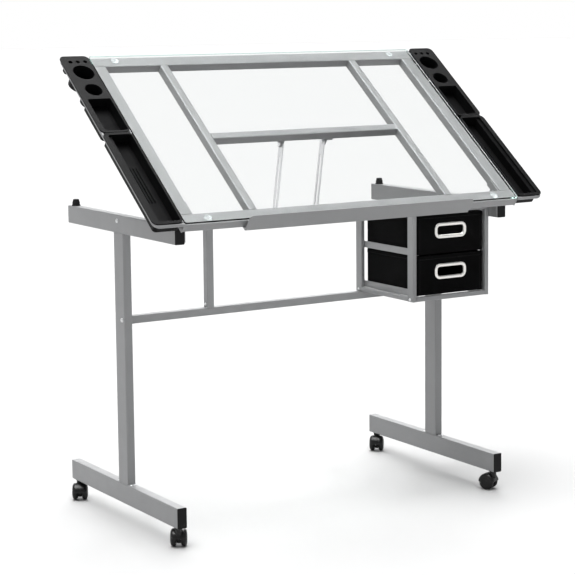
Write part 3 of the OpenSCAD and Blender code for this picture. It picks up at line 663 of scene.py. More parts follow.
def axes_at(origin: Point, along: Vector, hint: Vector = Vector((0, 0, 1))) -> Matrix:
    """A place whose Z axis points along a direction.

    Args:
        origin: The place's origin.
        along: Its Z direction.
        hint: A direction that its X axis stays square to.

    Returns:
        The place.
    """
    z = along.normalized()
    spare = hint if abs(z.dot(hint)) < 0.95 else Vector((0, 1, 0))
    x = spare.cross(z).normalized()
    y = z.cross(x)
    turn = Matrix((x, y, z)).transposed().to_4x4()
    return Matrix.Translation(Vector(origin)) @ turn


def arc(centre: Point, radius: float, start: float, end: float, steps: int) -> Outline:
    """Points on an arc in the plane, with both ends.

    Args:
        centre: The arc's centre.
        radius: Its radius.
        start: First angle, in degrees.
        end: Last angle, in degrees.
        steps: Steps from one to the other.

    Returns:
        Its points, one more than the steps.
    """
    turns = [math.radians(start + (end - start) * i / steps) for i in range(steps + 1)]
    return [(centre[0] + radius * math.cos(t), centre[1] + radius * math.sin(t)) for t in turns]


def round_outline(w: float, h: float, r: float, steps: int = 6) -> Outline:
    """A rectangle with round corners about the origin.

    Args:
        w: Width.
        h: Height.
        r: Corner radius.
        steps: Steps in each corner.

    Returns:
        Its points, going round once.
    """
    points: Outline = []
    for sx, sy, start in ((1, 1, 0), (-1, 1, 90), (-1, -1, 180), (1, -1, 270)):
        points += arc((sx * (w / 2 - r), sy * (h / 2 - r)), r, start, start + 90, steps)
    return points


def resampled(outline: Sequence[Point], step: float) -> Ring:
    """A closed outline with its long stretches split.

    Args:
        outline: The outline's points.
        step: Length that stretches are split to.

    Returns:
        The outline's old and new points.
    """
    result: Ring = []
    for i, a in enumerate(outline):
        a, b = Vector(a), Vector(outline[(i + 1) % len(outline)])
        if (b - a).length < 1e-7:
            continue
        pieces = max(1, round((b - a).length / step))
        result += [a.lerp(b, k / pieces) for k in range(pieces)]
    return result


def islands(node: str) -> list[Ring]:
    """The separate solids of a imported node.

    Args:
        node: The node's name.

    Returns:
        Each solid's points, sorted by place.
    """
    work = bmesh.new()
    work.from_mesh(frame["nodes"][node].data)
    bmesh.ops.remove_doubles(work, verts=work.verts, dist=0.01 * MM)
    groups: list[Ring] = []
    for first in work.verts:
        if first.tag:
            continue
        first.tag = True
        stack, group = [first], []
        while stack:
            vert = stack.pop()
            group.append(vert.co.copy())
            for edge in vert.link_edges:
                other = edge.other_vert(vert)
                if not other.tag:
                    other.tag = True
                    stack.append(other)
        groups.append(group)
    work.free()
    return sorted(groups, key=lambda g: [round(x, 3) for x in middle(g)])


def middle(points: Sequence[Vector]) -> Vector:
    """The middle of the box that holds the points."""
    low, high = spans(points)
    return (low + high) / 2


def spans(points: Sequence[Vector]) -> tuple[Vector, Vector]:
    """The box that holds the points.

    Args:
        points: The points.

    Returns:
        The box's lowest and highest corners.
    """
    low = Vector([min(p[k] for p in points) for k in range(3)])
    high = Vector([max(p[k] for p in points) for k in range(3)])
    return low, high


def reach(points: Sequence[Vector], direction: Vector) -> tuple[float, float]:
    """How far the points go along a direction.

    Args:
        points: The points.
        direction: A unit vector.

    Returns:
        The least and the most.
    """
    values = [p.dot(direction) for p in points]
    return min(values), max(values)


JOINTS: dict[str, dict] = {j["name"]: j for j in frame["joints"]}
OFF_GLASS = Vector(JOINTS["front_tray_lift_left"]["axis"]).normalized()
UP_SLOPE = Vector((0, OFF_GLASS.z, -OFF_GLASS.y))
ACROSS = Vector((1, 0, 0))
UP = Vector((0, 0, 1))
TOWARDS_USER = Vector((0, -1, 0))


# ---------------------------------------------------------------- studio


@dataclass(frozen=True)
class Studio:
    """Camera, soft light and a pale floor."""

    place: tuple[float, float, float] = (-2.454, -3.899, 1.252)
    heading: float = 31.98
    dip: float = 6.80
    lean: float = -0.58
    lens: float = 113.2
    shift: float = -0.1
    floor_half: float = 60.0
    sun_power: float = 5.2
    sun_width: float = 50.0
    back_power: float = 2.2
    air: float = 0.3
    horizon: float = 1.0
    horizon_top: float = 0.3

    def camera(self) -> None:
        """Makes the camera and sets it as the scene's."""
        data = bpy.data.cameras.new("camera")
        data.lens, data.shift_y, data.sensor_width = self.lens, self.shift, 36
        data.clip_end = 500
        piece = bpy.data.objects.new("camera", data)
        bpy.context.scene.collection.objects.link(piece)
        yaw, dip, lean = map(math.radians, (self.heading, self.dip, self.lean))
        ahead = Vector((math.sin(yaw) * math.cos(dip), math.cos(yaw) * math.cos(dip), -math.sin(dip)))
        right = Vector((math.cos(yaw), -math.sin(yaw), 0))
        up = right.cross(ahead)
        x = right * math.cos(lean) + up * math.sin(lean)
        y = up * math.cos(lean) - right * math.sin(lean)
        turn = Matrix((x, y, -ahead)).transposed().to_4x4()
        piece.matrix_world = Matrix.Translation(self.place) @ turn
        bpy.context.scene.camera = piece

    def sun(self, name: str, power: float, width: float, towards: Point) -> None:
        """Adds a wide, soft, far light.

        Args:
            name: The light's name.
            power: Its strength.
            width: How wide it looks, in degrees.
            towards: The direction that its light travels.
        """
        data = bpy.data.lights.new(name, "SUN")
        data.energy, data.angle = power, math.radians(width)
        lamp = bpy.data.objects.new(name, data)
        lamp.rotation_mode = "QUATERNION"
        lamp.rotation_quaternion = Vector(towards).to_track_quat("-Z", "Y")
        bpy.context.scene.collection.objects.link(lamp)

    def lights(self) -> None:
        """Adds the overhead light, a weak side light and the room's air."""
        self.sun("overhead", self.sun_power, self.sun_width, (0.1, 0.02, -1))
        self.sun("from_left", 0.35, 60, (1, 0.25, -0.35))
        self.sun("from_behind", self.back_power, 36, (-0.5, -0.75, -0.8))
        world = bpy.data.worlds.new("room")
        world.use_nodes = True
        tree = world.node_tree
        room = next(n for n in tree.nodes if n.type == "BACKGROUND")
        place = tree.nodes.new("ShaderNodeTexCoord")
        split = tree.nodes.new("ShaderNodeSeparateXYZ")
        band = tree.nodes.new("ShaderNodeMapRange")
        band.interpolation_type = "SMOOTHSTEP"
        band.inputs["From Max"].default_value = self.horizon_top
        band.inputs["To Min"].default_value = self.horizon
        band.inputs["To Max"].default_value = self.air
        tree.links.new(place.outputs["Generated"], split.inputs["Vector"])
        tree.links.new(split.outputs["Z"], band.inputs["Value"])
        tree.links.new(band.outputs["Result"], room.inputs["Strength"])
        backdrop = tree.nodes.new("ShaderNodeBackground")
        backdrop.inputs["Color"].default_value = (1, 1, 1, 1)
        rays = tree.nodes.new("ShaderNodeLightPath")
        mix = tree.nodes.new("ShaderNodeMixShader")
        room.inputs["Color"].default_value = (0.97, 0.985, 1, 1)
        out = next(n for n in tree.nodes if n.type == "OUTPUT_WORLD")
        tree.links.new(rays.outputs["Is Camera Ray"], mix.inputs[0])
        tree.links.new(room.outputs[0], mix.inputs[1])
        tree.links.new(backdrop.outputs[0], mix.inputs[2])
        tree.links.new(mix.outputs[0], out.inputs["Surface"])
        bpy.context.scene.world = world

    def floor(self) -> None:
        """Lays the floor under the casters."""
        data = bpy.data.meshes.new("floor")
        half, low = self.floor_half, cad_box[0].z
        corners = [(-half, -half, low), (half, -half, low), (half, half, low), (-half, half, low)]
        data.from_pydata(corners, [], [(0, 1, 2, 3)])
        piece = bpy.data.objects.new("floor", data)
        bpy.context.scene.collection.objects.link(piece)
        data.materials.append(SHOP.material(FLOOR))

    def build(self) -> None:
        """Sets up the whole studio."""
        self.camera()
        self.lights()
        self.floor()
        bpy.context.scene.view_settings.view_transform = "Standard"


# ---------------------------------------------------------------- fittings


@dataclass(frozen=True)
class Bolt:
    """A pan-head bolt with a hexagon socket, on a washer."""

    socket_share: float = 0.5
    washer_share: float = 1.12
    washer_t: float = 0.7 * MM
    steps: int = 36

    def turn(self, mould: Mould, place: Matrix, radius: float, height: float) -> None:
        """Turns one bolt into a piece.

        Args:
            mould: The piece that it joins.
            place: The washer's seat, with Z along the bolt.
            radius: The head's radius.
            height: The head's height, washer included.
        """
        hex_r = radius * self.socket_share
        seat = radius * self.washer_share
        lip = self.washer_t
        profile = [(0, 0), (seat, 0), (seat, lip * 0.6), (seat - lip * 0.5, lip)]
        profile += [(radius, lip), (radius, height * 0.5)]
        profile += arc((radius - height * 0.5, height * 0.5), height * 0.5, 0, 90, 5)
        mouth_r = hex_r * 1.12
        mould.lathe([*profile, (mouth_r, height)], place, self.steps)
        mouth = mould.ring(place @ Vector((*p, height)) for p in self.hexagon(mouth_r, True))
        rows = [mouth]
        for z, r in ((height - 0.2 * MM, hex_r), (height * 0.35, hex_r)):
            rows.append(mould.ring(place @ Vector((*p, z)) for p in self.hexagon(r, False)))
        for a, b in zip(rows, rows[1:]):
            mould.skin(a, b)
        mould.mesh.faces.new(rows[-1])

    def hexagon(self, r: float, round_form: bool) -> Outline:
        """Points round a hexagon, or round a circle of the same size.

        Args:
            r: Radius over the corners.
            round_form: Whether the points go round the circle instead.

        Returns:
            The points, as many as the head has steps.
        """
        points = []
        for i in range(self.steps):
            t = 2 * math.pi * i / self.steps
            flat = math.cos(math.pi / 6) / math.cos((t % (math.pi / 3)) - math.pi / 6)
            scale = 1.0 if round_form else flat
            points.append((r * scale * math.cos(t), r * scale * math.sin(t)))
        return points


@dataclass
class Fasteners:
    """The stand's bolt heads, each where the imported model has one."""

    bolt: Bolt = field(default_factory=Bolt)
    margin: float = 5 * MM

    def build(self) -> None:
        """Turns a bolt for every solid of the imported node."""
        mould = Mould("frame_bolts_turned")
        for solid in islands("frame_bolts"):
            low, high = spans(solid)
            size = high - low
            thin = min(range(3), key=lambda k: size[k])
            outward = Vector((0, 0, 0))
            outward[thin] = 1 if thin == 2 or middle(solid)[thin] > self.inside(solid)[thin] else -1
            seat = middle(solid) - outward * size[thin] / 2
            radius = max(size) / 2 / self.bolt.washer_share
            self.bolt.turn(mould, axes_at(seat, outward), radius, size[thin])
        mould.done("stand", ZINC, ["frame_bolts"])

    def inside(self, solid: Sequence[Vector]) -> Vector:
        """A point that a bolt's head faces away from.

        Args:
            solid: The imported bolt's points.

        Returns:
            The point, on or behind the tube that the bolt is seated on.
        """
        place = middle(solid)
        drawers_low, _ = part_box("drawer_post_front_left")
        _, drawers_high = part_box("drawer_post_front_right")
        if drawers_low.x - self.margin < place.x < drawers_high.x:
            return drawers_high
        post_low, post_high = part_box("centre_post")
        if post_low.x - self.margin < place.x < post_high.x:
            return post_high
        return Vector((0, 0, 0))


@dataclass
class EndCaps:
    """Moulded caps in the ends of the feet and rails: a bevelled plate with a sunk panel."""

    bevel: float = 0.6 * MM
    frame_w: float = 2.6 * MM
    sunk: float = 0.35 * MM

    def cap(self, mould: Mould, solid: Sequence[Vector], node_top: float) -> None:
        """Moulds one cap.

        Args:
            mould: The piece that it joins.
            solid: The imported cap's points.
            node_top: How far the cap's plate stands out of its tube.
        """
        low, high = spans(solid)
        size, centre = high - low, (low + high) / 2
        outward = -1 if centre.y < 0 else 1
        face_y = low.y if outward < 0 else high.y
        plate = node_top
        place = axes_at((centre.x, face_y - outward * plate, centre.z), Vector((0, outward, 0)))
        w, h = size.x, size.z
        steps = [(0.0, 0.0), (0.0, plate - self.bevel), (self.bevel * 0.35, plate - self.bevel * 0.3)]
        steps += [(self.bevel, plate), (self.frame_w, plate), (self.frame_w + 0.3 * MM, plate - self.sunk)]
        rings = []
        for inset, z in steps:
            outline = round_outline(w - 2 * inset, h - 2 * inset, max(2.5 * MM - inset, 0.4 * MM))
            rings.append([place @ Vector((x, y, z)) for x, y in outline])
        mould.loft(rings, closed=False)

    def build(self) -> None:
        """Moulds the caps of the feet and of the rails."""
        for node, tube in (("foot_end_caps", "foot_left"), ("rail_end_caps", "side_rail_left")):
            mould = Mould(node.replace("caps", "caps_moulded"))
            tube_low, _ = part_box(tube)
            cap_low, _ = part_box(node)
            for solid in islands(node):
                self.cap(mould, solid, tube_low.y - cap_low.y)
            mould.done("stand", CAP_PLASTIC, [node])


@dataclass
class RestStops:
    """Rubber stops on the rails: a foot flange, a waist groove and a domed head."""

    def build(self) -> None:
        """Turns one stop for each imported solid."""
        mould = Mould("rest_stops_turned")
        for solid in islands("rest_bumpers"):
            low, high = spans(solid)
            r, h = (high.x - low.x) / 2, high.z - low.z
            place = Matrix.Translation(Vector((middle(solid).x, middle(solid).y, low.z)))
            top_r = r * 0.72
            profile = [(0, 0), (r, 0), (r, h * 0.12), (r * 0.97, h * 0.17), (r * 0.86, h * 0.2)]
            profile += [(r * 0.84, h * 0.3), (r * 0.9, h * 0.34), (r * 0.88, h * 0.5), (top_r, h * 0.8)]
            profile += arc((top_r - h * 0.14, h * 0.84), h * 0.16, 5, 90, 6) + [(0, h)]
            mould.lathe(profile, place)
        mould.done("stand", STOP_RUBBER, ["rest_bumpers"])


@dataclass
class GlassCups:
    """Clear suction cups between the frame and the glass."""

    rim: float = 0.5 * MM

    def build(self) -> None:
        """Turns one cup for each packed bumper."""
        mould = Mould("glass_cups_turned")
        for solid in islands("glass_bumpers"):
            low, high = reach(solid, OFF_GLASS)
            left, right = reach(solid, ACROSS)
            h, r = high - low, (right - left) / 2
            seat = middle(solid) - OFF_GLASS * h / 2
            neck = r * 0.42
            profile = [(0, 0), (neck * 1.3, 0), (neck * 1.3, h * 0.12), (neck, h * 0.25)]
            profile += [(neck * 1.15, h * 0.5), (r * 0.75, h * 0.72), (r, h - self.rim), (r, h * 0.99)]
            profile += [(r * 0.8, h * 0.93), (r * 0.4, h * 0.86), (0, h * 0.84)]
            mould.lathe(profile, axes_at(seat, OFF_GLASS))
        mould.done("tabletop", VINYL, ["glass_bumpers"])


@dataclass
class WeldBeads:
    """Weld beads where tubes meet, a little uneven, under the paint."""

    radius: float = 1.1 * MM
    pitch: float = 1.6 * MM
    unevenness: float = 0.25
    trim: float = 3 * MM
    seed: int = 11

    def bead(self, mould: Mould, start: Vector, end: Vector, draw: random.Random) -> None:
        """Runs one bead between two points.

        Args:
            mould: The piece that it joins.
            start: First end.
            end: Second end.
            draw: Source of unevenness.
        """
        along = end - start
        count = max(4, int(along.length / self.pitch))
        rings = []
        for i in range(count + 1):
            taper = 0.35 if i in (0, count) else 1.0
            size = self.radius * taper * (1 + self.unevenness * draw.uniform(-1, 1))
            place = axes_at(start + along * i / count, along)
            rings.append([place @ Vector((*p, 0)) for p in arc((0, 0), size, 0, 315, 7)])
        mould.loft(rings, closed=False)

    def square(self, mould: Mould, low: Point, high: Point, z: float, draw: random.Random) -> None:
        """Runs beads round an upright tube's foot or head.

        Args:
            mould: The piece that they join.
            low: The tube's lowest corner.
            high: Its highest corner.
            z: The beads' height.
            draw: Source of unevenness.
        """
        corners = [(low[0], low[1]), (high[0], low[1]), (high[0], high[1]), (low[0], high[1])]
        for i, a in enumerate(corners):
            b = corners[(i + 1) % 4]
            a, b = Vector((*a, z)), Vector((*b, z))
            trim = (b - a).normalized() * self.trim
            self.bead(mould, a + trim, b - trim, draw)

    def build(self) -> None:
        """Runs the beads of the stand and of the tabletop."""
        draw = random.Random(self.seed)
        stand = Mould("stand_weld_beads")
        for post in ("upright_left", "upright_right", "centre_post"):
            low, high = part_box(post)
            for z in (low.z, high.z):
                self.square(stand, low, high, z, draw)
        stand.done("stand", STEEL)
        top = Mould("tabletop_weld_beads")
        for bar in ("top_left_bar", "top_right_bar", "top_cross_bar_left", "top_cross_bar_right"):
            points = [v.co for v in frame["nodes"][bar].data.vertices]
            x0, x1 = reach(points, ACROSS)
            u0, u1 = reach(points, UP_SLOPE)
            n0, n1 = reach(points, OFF_GLASS)
            inset = self.trim
            for u in (u0, u1):
                for x in (x0, x1):
                    ends = [ACROSS * x + UP_SLOPE * u + OFF_GLASS * n for n in (n0 + inset, n1 - inset)]
                    if abs(x) < cad_box[1].x - 0.1:
                        self.bead(top, *ends, draw)
                under = [ACROSS * x + UP_SLOPE * u + OFF_GLASS * n0 for x in (x0 + inset, x1 - inset)]
                self.bead(top, *under, draw)
        top.done("tabletop", STEEL)


# ---------------------------------------------------------------- casters


@dataclass
class Caster:
    """A hooded twin-wheel caster: crowned hood, web, stem and two domed wheels."""

    corner: Corner
    gap: float = 11 * MM
    hood_air: float = 0.9 * MM
    hood_t: float = 2.2 * MM
    stem_r: float = 5 * MM
    axle_r: float = 2.9 * MM
    web_air: float = 0.4 * MM
    eye: float = 0.28
    face: float = 0.42
    wheel_steps: int = 56

    def __post_init__(self) -> None:
        """Reads the caster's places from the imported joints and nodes."""
        name = self.corner.value
        self.swivel = Vector(JOINTS[f"caster_swivel_{name}"]["pos_m"])
        spin = JOINTS[f"wheel_spin_{name}"]
        self.axle = Vector(spin["pos_m"])
        self.axle_way = Vector(spin["axis"]).normalized()
        self.radius = self.axle.z - cad_box[0].z
        points = [v.co for v in frame["nodes"][f"caster_wheels_{name}"].data.vertices]
        near, far = reach(points, self.axle_way)
        self.wheel_w = (far - near - self.gap) / 2
        self.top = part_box("foot_left")[0].z - 2.5 * MM
        self.hood_body = f"caster_{name}"
        self.wheel_body = f"wheels_{name}"

    def wheel_profile(self) -> Outline:
        """A wheel's half section.

        Returns:
            Pairs of radius and distance from the wheel's inner face.
        """
        r, w = self.radius, self.wheel_w
        inner = [(r * self.eye, 0), (r * 0.62, 0), (r * 0.64, w * 0.06), (r * 0.74, w * 0.06)]
        inner += [(r * 0.76, w * 0.02), (r * 0.8, w * 0.02), (r * 0.86, w * 0.08)]
        tread = [(r * 0.92, w * 0.16), (r * 0.965, w * 0.25), (r * 0.99, w * 0.34), (r, w * 0.42)]
        dome = [(r, w * 0.5)]
        for i in range(1, 9):
            t = math.radians(90 * i / 9)
            dome.append((r * self.dome_share(math.cos(t)), w * (0.5 + 0.5 * math.sin(t))))
        hub = [(r * 0.41, w), (r * 0.4, w * 0.96), (r * 0.36, w * 0.96), (r * 0.34, w * 0.985)]
        hub += [(r * 0.2, w), (0, w)]
        return [*inner, *tread, *dome, *hub]

    def wheel_radius_at(self, across: float) -> float:
        """The wheel's outer radius at one place along the axle.

        Args:
            across: Distance from the caster's middle plane.

        Returns:
            The radius there.
        """
        share = (across - self.gap / 2) / self.wheel_w
        if share <= 0.5:
            return self.radius
        bend = min(1.0, (share - 0.5) / 0.5)
        return self.radius * self.dome_share(math.sqrt(max(0.0, 1 - bend * bend)))

    def dome_share(self, cosine: float) -> float:
        """The share of the radius that the wheel's dome has, from its face (0) to its tread (1)."""
        return self.face + (1 - self.face) * cosine

    def wheels(self) -> None:
        """Turns the two wheels and their axle."""
        name = self.corner.value
        mould = Mould(f"caster_wheels_{name}_turned")
        for side in (-1, 1):
            seat = self.axle + self.axle_way * side * self.gap / 2
            place = axes_at(seat, self.axle_way * side)
            mould.lathe(self.wheel_profile(), place, self.wheel_steps)
            mould.lathe([(self.radius * self.eye, 0), (0, 0)], place, self.wheel_steps)
        axle = axes_at(self.axle - self.axle_way * self.gap / 2, self.axle_way)
        axle_r = self.axle_r
        mould.lathe([(0, 0), (axle_r, 0), (axle_r, self.gap), (0, self.gap)], axle, 32)
        bmesh.ops.remove_doubles(mould.mesh, verts=mould.mesh.verts, dist=0.001 * MM)
        mould.done(self.wheel_body, TREAD, [f"caster_wheels_{name}"])

    def hood_section(self, angle: float, ahead: Vector) -> Ring:
        """One closed section of the hood's shell.

        Args:
            angle: Where it is round the axle, in radians from straight ahead.
            ahead: The direction from the axle towards the stem.

        Returns:
            Its points.
        """
        half = self.gap / 2 + self.wheel_w * 0.93
        radial = ahead * math.cos(angle) + UP * math.sin(angle)
        steps = 18
        outer, inner = [], []
        for i in range(steps + 1):
            across = half * math.sin(math.radians(-90 + 180 * i / steps))
            near = self.wheel_radius_at(abs(across)) + self.hood_air
            inner.append(self.axle + radial * near + self.axle_way * across * 0.985)
            thick = self.hood_t * (0.55 + 0.45 * math.sqrt(max(0.0, 1 - (across / half) ** 2)))
            outer.append(self.axle + radial * (near + thick) + self.axle_way * across)
        return [*outer, *reversed(inner)]

    def hood(self) -> None:
        """Lofts the hood, with its web and neck."""
        name = self.corner.value
        ahead = self.swivel - self.axle
        ahead.z = 0
        ahead.normalize()
        mould = Mould(f"caster_hood_{name}_shell")
        first, last, steps = math.radians(8), math.radians(176), 30
        sections = [self.hood_section(first + (last - first) * i / steps, ahead) for i in range(steps + 1)]
        mould.loft(sections, closed=False)
        web_half = self.gap / 2 - self.web_air
        outline = arc((0, 0), self.radius * 0.66, 200, 340, 14)
        outline += [(self.radius * 0.98, self.radius * 0.1), (self.radius * 1.02, self.radius * 0.7)]
        outline += arc((0, 0), self.radius + self.hood_air + self.hood_t * 0.4, 50, 150, 14)
        outline += [(-self.radius * 0.8, self.radius * 0.1)]
        rings = []
        for share, inset in ((-1.0, 0.94), (-0.8, 1), (0.8, 1), (1.0, 0.94)):
            middle_of_ring = self.axle + self.axle_way * web_half * share
            rings.append([middle_of_ring + (ahead * x + UP * z) * inset for x, z in outline])
        mould.loft(rings, closed=False)
        neck = Matrix.Translation(Vector((self.swivel.x, self.swivel.y, 0)))
        base = self.axle.z + self.radius * 0.35
        top = self.top
        r = self.stem_r
        profile = [(0, base), (r + 1.5 * MM, base), (r + 4 * MM, base + 5 * MM), (r + 4 * MM, top - 5 * MM)]
        profile += arc((r + 2 * MM, top - 2 * MM), 2 * MM, 0, 90, 5) + [(r + 0.5 * MM, top), (0, top)]
        mould.lathe(profile, neck, 40)
        mould.done(self.hood_body, NYLON, [f"caster_hood_{name}"])

    def stem(self) -> None:
        """Turns the steel stem between the hood and the foot."""
        _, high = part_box(f"caster_hood_{self.corner.value}")
        mould = Mould(f"caster_stem_{self.corner.value}")
        low, top, r = self.top - 6 * MM, high.z, self.stem_r
        groove = r * 0.86
        profile = [(0, low), (r, low), (r, top - 6 * MM), (groove, top - 5.4 * MM), (groove, top - 4 * MM)]
        profile += [(r, top - 3.4 * MM), (r, top - 1 * MM), (r * 0.8, top), (0, top)]
        mould.lathe(profile, Matrix.Translation(Vector((self.swivel.x, self.swivel.y, 0))), 32)
        mould.done(self.hood_body, ZINC)

    def build(self) -> None:
        """Makes the caster's pieces."""
        self.wheels()
        self.hood()
        self.stem()


# ---------------------------------------------------------------- drawers


@dataclass
class FabricDrawer:
    """A board-stiffened cloth drawer: bowed panels, a bound rim, topstitching and a grip ring."""

    level: Level
    wall: float = 3 * MM
    corner_r: float = 5 * MM
    step: float = 4 * MM
    binding: float = 11 * MM
    binding_t: float = 0.7 * MM
    bow: float = 0.9 * MM
    band: float = 8.5 * MM
    grip_r: float = 16 * MM
    stitch: float = 3.1 * MM
    stitch_gap: float = 1.5 * MM

    def __post_init__(self) -> None:
        """Reads the drawer's box and its grip's box."""
        self.name = f"{self.level.value}_drawer"
        self.low, self.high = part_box(self.name)
        self.grip_low, self.grip_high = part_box(f"{self.name}_grip")
        self.seed = 3 if self.level is Level.UPPER else 8

    def soft(self, point: Vector, way: Vector, share: float) -> Vector:
        """Moves a wall point as slack cloth over board lies.

        Args:
            point: The point on the flat wall.
            way: Outward direction of the wall there.
            share: 0 at the bottom and 1 at the rim.

        Returns:
            The moved point.
        """
        size = self.high - self.low
        x = (point.x - self.low.x) / size.x
        y = (point.y - self.low.y) / size.y
        along = x if abs(way.y) > abs(way.x) else y
        swell = 4 * along * (1 - along) * math.sin(math.pi * min(1.0, share * 1.1))
        ripple = noise.noise(point * 23 + Vector((self.seed, 0, 0)))
        return point + way * (self.bow * (0.55 * swell + 0.45 * ripple * math.sin(math.pi * share)))

    def walls(self) -> bpy.types.Object:
        """Sweeps the wall's section round the drawer and cuts the hand slot.

        Returns:
            The drawer's cloth shell.
        """
        inset = self.binding_t + self.bow * 0.6
        w = self.high.x - self.low.x - 2 * inset
        d = self.high.y - self.low.y - 2 * inset
        centre = (self.low + self.high) / 2
        outline = resampled(round_outline(w, d, self.corner_r), self.step)
        count = len(outline)
        ways = []
        for i, p in enumerate(outline):
            tangent = (outline[(i + 1) % count] - outline[i - 1]).normalized()
            ways.append(Vector((tangent.y, -tangent.x, 0)))
        height = self.high.z - self.low.z
        rows: list[tuple[float, float, bool]] = []
        wall_rows = 26
        bottom = 1.2 * MM
        rows += [(-1.6 * MM, 0.0, False), (-0.4 * MM, 0.3 * MM, False), (0.0, bottom, True)]
        bound = height - self.binding
        rows += [(0.0, bottom + (bound - bottom) * i / wall_rows, True) for i in range(1, wall_rows)]
        rows += [(0.0, bound, True), (self.binding_t, bound + 0.5 * MM, True)]
        rows += [(self.binding_t, bound + (self.binding - 2.4 * MM) * i / 4, True) for i in range(1, 5)]
        lip = (self.wall + self.binding_t) / 2
        rim = arc((-lip + self.binding_t, height - lip), lip, 0, 180, 8)
        rows += [(offset, z, True) for offset, z in rim[1:-1]]
        inner = -self.wall
        rows += [(inner, bound + (self.binding - 2.4 * MM) * i / 4, True) for i in range(4, -1, -1)]
        rows += [(inner + 0.5 * MM, bound - 0.5 * MM, True)]
        floor = self.wall
        drop = (floor - bound) / wall_rows
        rows += [(inner + 0.5 * MM, bound + drop * i, True) for i in range(1, wall_rows)]
        rows += [(inner + 0.2 * MM, floor + 0.6 * MM, False), (inner - 1.2 * MM, floor, False)]
        mould = Mould(f"{self.name}_cloth")
        rings = []
        for offset, z, slack in rows:
            ring = []
            for p, way in zip(outline, ways):
                point = Vector((centre.x + p.x, centre.y + p.y, self.low.z + z)) + way * offset
                ring.append(self.soft(point, way, z / height) if slack else point)
            rings.append(ring)
        mould.loft(rings, closed=False)
        piece = mould.done(self.name, CLOTH, [self.name], math.radians(60))
        self.cut_slot(piece)
        return piece

    def slot_outline(self, grow: float) -> Outline:
        """The hand slot's outline about its middle.

        Args:
            grow: How far it is grown outwards.

        Returns:
            Its points.
        """
        w = self.grip_high.x - self.grip_low.x - 2 * self.band + 2 * grow
        h = self.grip_high.z - self.grip_low.z - 2 * self.band + 2 * grow
        return round_outline(w, h, self.grip_r - self.band + grow, 12)

    def cut_slot(self, piece: bpy.types.Object) -> None:
        """Cuts the hand slot through the front panel.

        Args:
            piece: The drawer's cloth shell.
        """
        cutter_mould = Mould(f"{self.name}_cutter")
        centre = (self.grip_low + self.grip_high) / 2
        rings = []
        for y in (self.low.y - 20 * MM, self.low.y + 20 * MM):
            rings.append([Vector((centre.x + x, y, centre.z + z)) for x, z in self.slot_outline(0.4 * MM)])
        cutter_mould.loft(rings, closed=False)
        bmesh.ops.recalc_face_normals(cutter_mould.mesh, faces=cutter_mould.mesh.faces)
        data = bpy.data.meshes.new("cutter")
        cutter_mould.mesh.to_mesh(data)
        cutter_mould.mesh.free()
        cutter = bpy.data.objects.new("cutter", data)
        bpy.context.scene.collection.objects.link(cutter)
        cut = piece.modifiers.new("slot", "BOOLEAN")
        cut.object, cut.operation, cut.solver = cutter, "DIFFERENCE", "EXACT"
        graph = bpy.context.evaluated_depsgraph_get()
        finished = bpy.data.meshes.new_from_object(piece.evaluated_get(graph))
        piece.modifiers.remove(cut)
        piece.data = finished
        bpy.data.objects.remove(cutter)

    def stitches(self) -> None:
        """Sews a row below the binding and a row beside each front corner."""
        mould = Mould(f"{self.name}_stitching")
        inset = self.bow * 0.6
        low, high = self.low + Vector((inset, inset, 0)), self.high - Vector((inset, inset, 0))
        z = self.high.z - self.binding + 2.2 * MM
        runs: list[tuple[Vector, Vector, Vector]] = []
        r = self.corner_r
        runs.append((Vector((low.x + r, low.y, z)), Vector((high.x - r, low.y, z)), TOWARDS_USER))
        runs.append((Vector((high.x - r, high.y, z)), Vector((low.x + r, high.y, z)), -TOWARDS_USER))
        runs.append((Vector((low.x, high.y - r, z)), Vector((low.x, low.y + r, z)), -ACROSS))
        runs.append((Vector((high.x, low.y + r, z)), Vector((high.x, high.y - r, z)), ACROSS))
        for x in (low.x + 2 * r, high.x - 2 * r):
            start = Vector((x, low.y + self.binding_t, self.low.z + 5 * MM))
            runs.append((start, Vector((x, low.y + self.binding_t, z - 4 * MM)), TOWARDS_USER))
        for start, end, way in runs:
            self.sew(mould, start, end, way)
        mould.done(self.name, THREAD)

    def sew(self, mould: Mould, start: Vector, end: Vector, way: Vector) -> None:
        """Sews one straight row of stitches.

        Args:
            mould: The piece that it joins.
            start: Where the row starts.
            end: Where it ends.
            way: Outward direction of the cloth.
        """
        along = (end - start).normalized()
        pitch = self.stitch + self.stitch_gap
        for i in range(int((end - start).length / pitch)):
            base = start + along * (i + 0.5) * pitch
            side = along.cross(way)
            rings = []
            for k in range(7):
                t = k / 6
                sink = 0.45 * MM * (2 * t - 1) ** 4
                size = 0.38 * MM * math.sqrt(max(0.08, 1 - (2 * t - 1) ** 4))
                place = base + along * self.stitch * (t - 0.5) + way * (0.12 * MM - sink)
                swing = [2 * math.pi * a / 6 for a in range(6)]
                out, over = way * size * 0.7, side * size
                rings.append([place + out * math.cos(s) + over * math.sin(s) for s in swing])
            mould.loft(rings, closed=False)

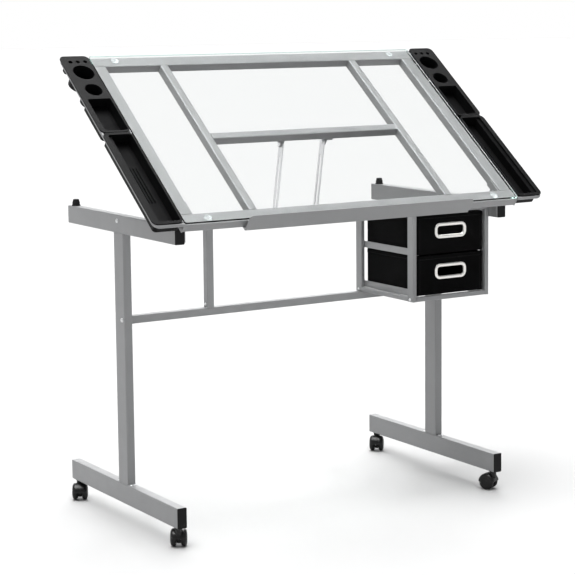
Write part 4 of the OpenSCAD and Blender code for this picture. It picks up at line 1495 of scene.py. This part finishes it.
    def grip(self) -> None:
        """Presses the grip ring: a crowned band with a turned-in eyelet."""
        mould = Mould(f"{self.name}_grip_ring")
        centre = (self.grip_low + self.grip_high) / 2
        back = self.grip_high.y
        proud = self.grip_high.y - self.grip_low.y
        w, h = self.grip_high.x - self.grip_low.x, self.grip_high.z - self.grip_low.z
        band = self.band
        section = [(0.0, 0.0), (0.15 * MM, proud * 0.45), (0.8 * MM, proud * 0.8)]
        section += [(band * 0.28, proud * 0.97), (band * 0.5, proud)]
        section += [(band * 0.76, proud * 0.95), (band - 0.9 * MM, proud * 0.72)]
        section += [(band - 0.2 * MM, proud * 0.35), (band, -0.5 * MM), (band, -4.2 * MM)]
        section += [(band - 0.8 * MM, -4.2 * MM), (band - 0.8 * MM, 0.0)]
        rings = []
        for inset, out in section:
            outline = round_outline(w - 2 * inset, h - 2 * inset, self.grip_r - inset, 16)
            rings.append([Vector((centre.x + x, back - out, centre.z + z)) for x, z in outline])
        mould.loft(rings)
        mould.done(self.name, NICKEL, [f"{self.name}_grip"])

    def build(self) -> None:
        """Makes the drawer's pieces."""
        self.walls()
        self.stitches()
        self.grip()


# ---------------------------------------------------------------- whole table


@dataclass
class DraftingTable:
    """The whole table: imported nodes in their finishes, with the built pieces on them."""

    def dress_packed_nodes(self) -> None:
        """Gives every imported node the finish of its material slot."""
        finish_of = {finish.slot: finish for finish in NODE_FINISHES}
        for part in frame["record"]["subparts"]:
            node = frame["nodes"][part["node"]]
            SHOP.dress(node, finish_of[part["material_slot"]])
            log.info("%s: %s", part["node"], finish_of[part["material_slot"]].name)

    def build(self) -> None:
        """Builds each sub-assembly in order."""
        self.dress_packed_nodes()
        Fasteners().build()
        EndCaps().build()
        RestStops().build()
        GlassCups().build()
        WeldBeads().build()
        for corner in Corner:
            Caster(corner).build()
        for level in Level:
            FabricDrawer(level).build()


def main() -> None:
    """Builds the studio and the table."""
    logging.basicConfig(level=logging.INFO, format="%(message)s")
    Studio().build()
    DraftingTable().build()


if __name__ == "__main__":
    main()
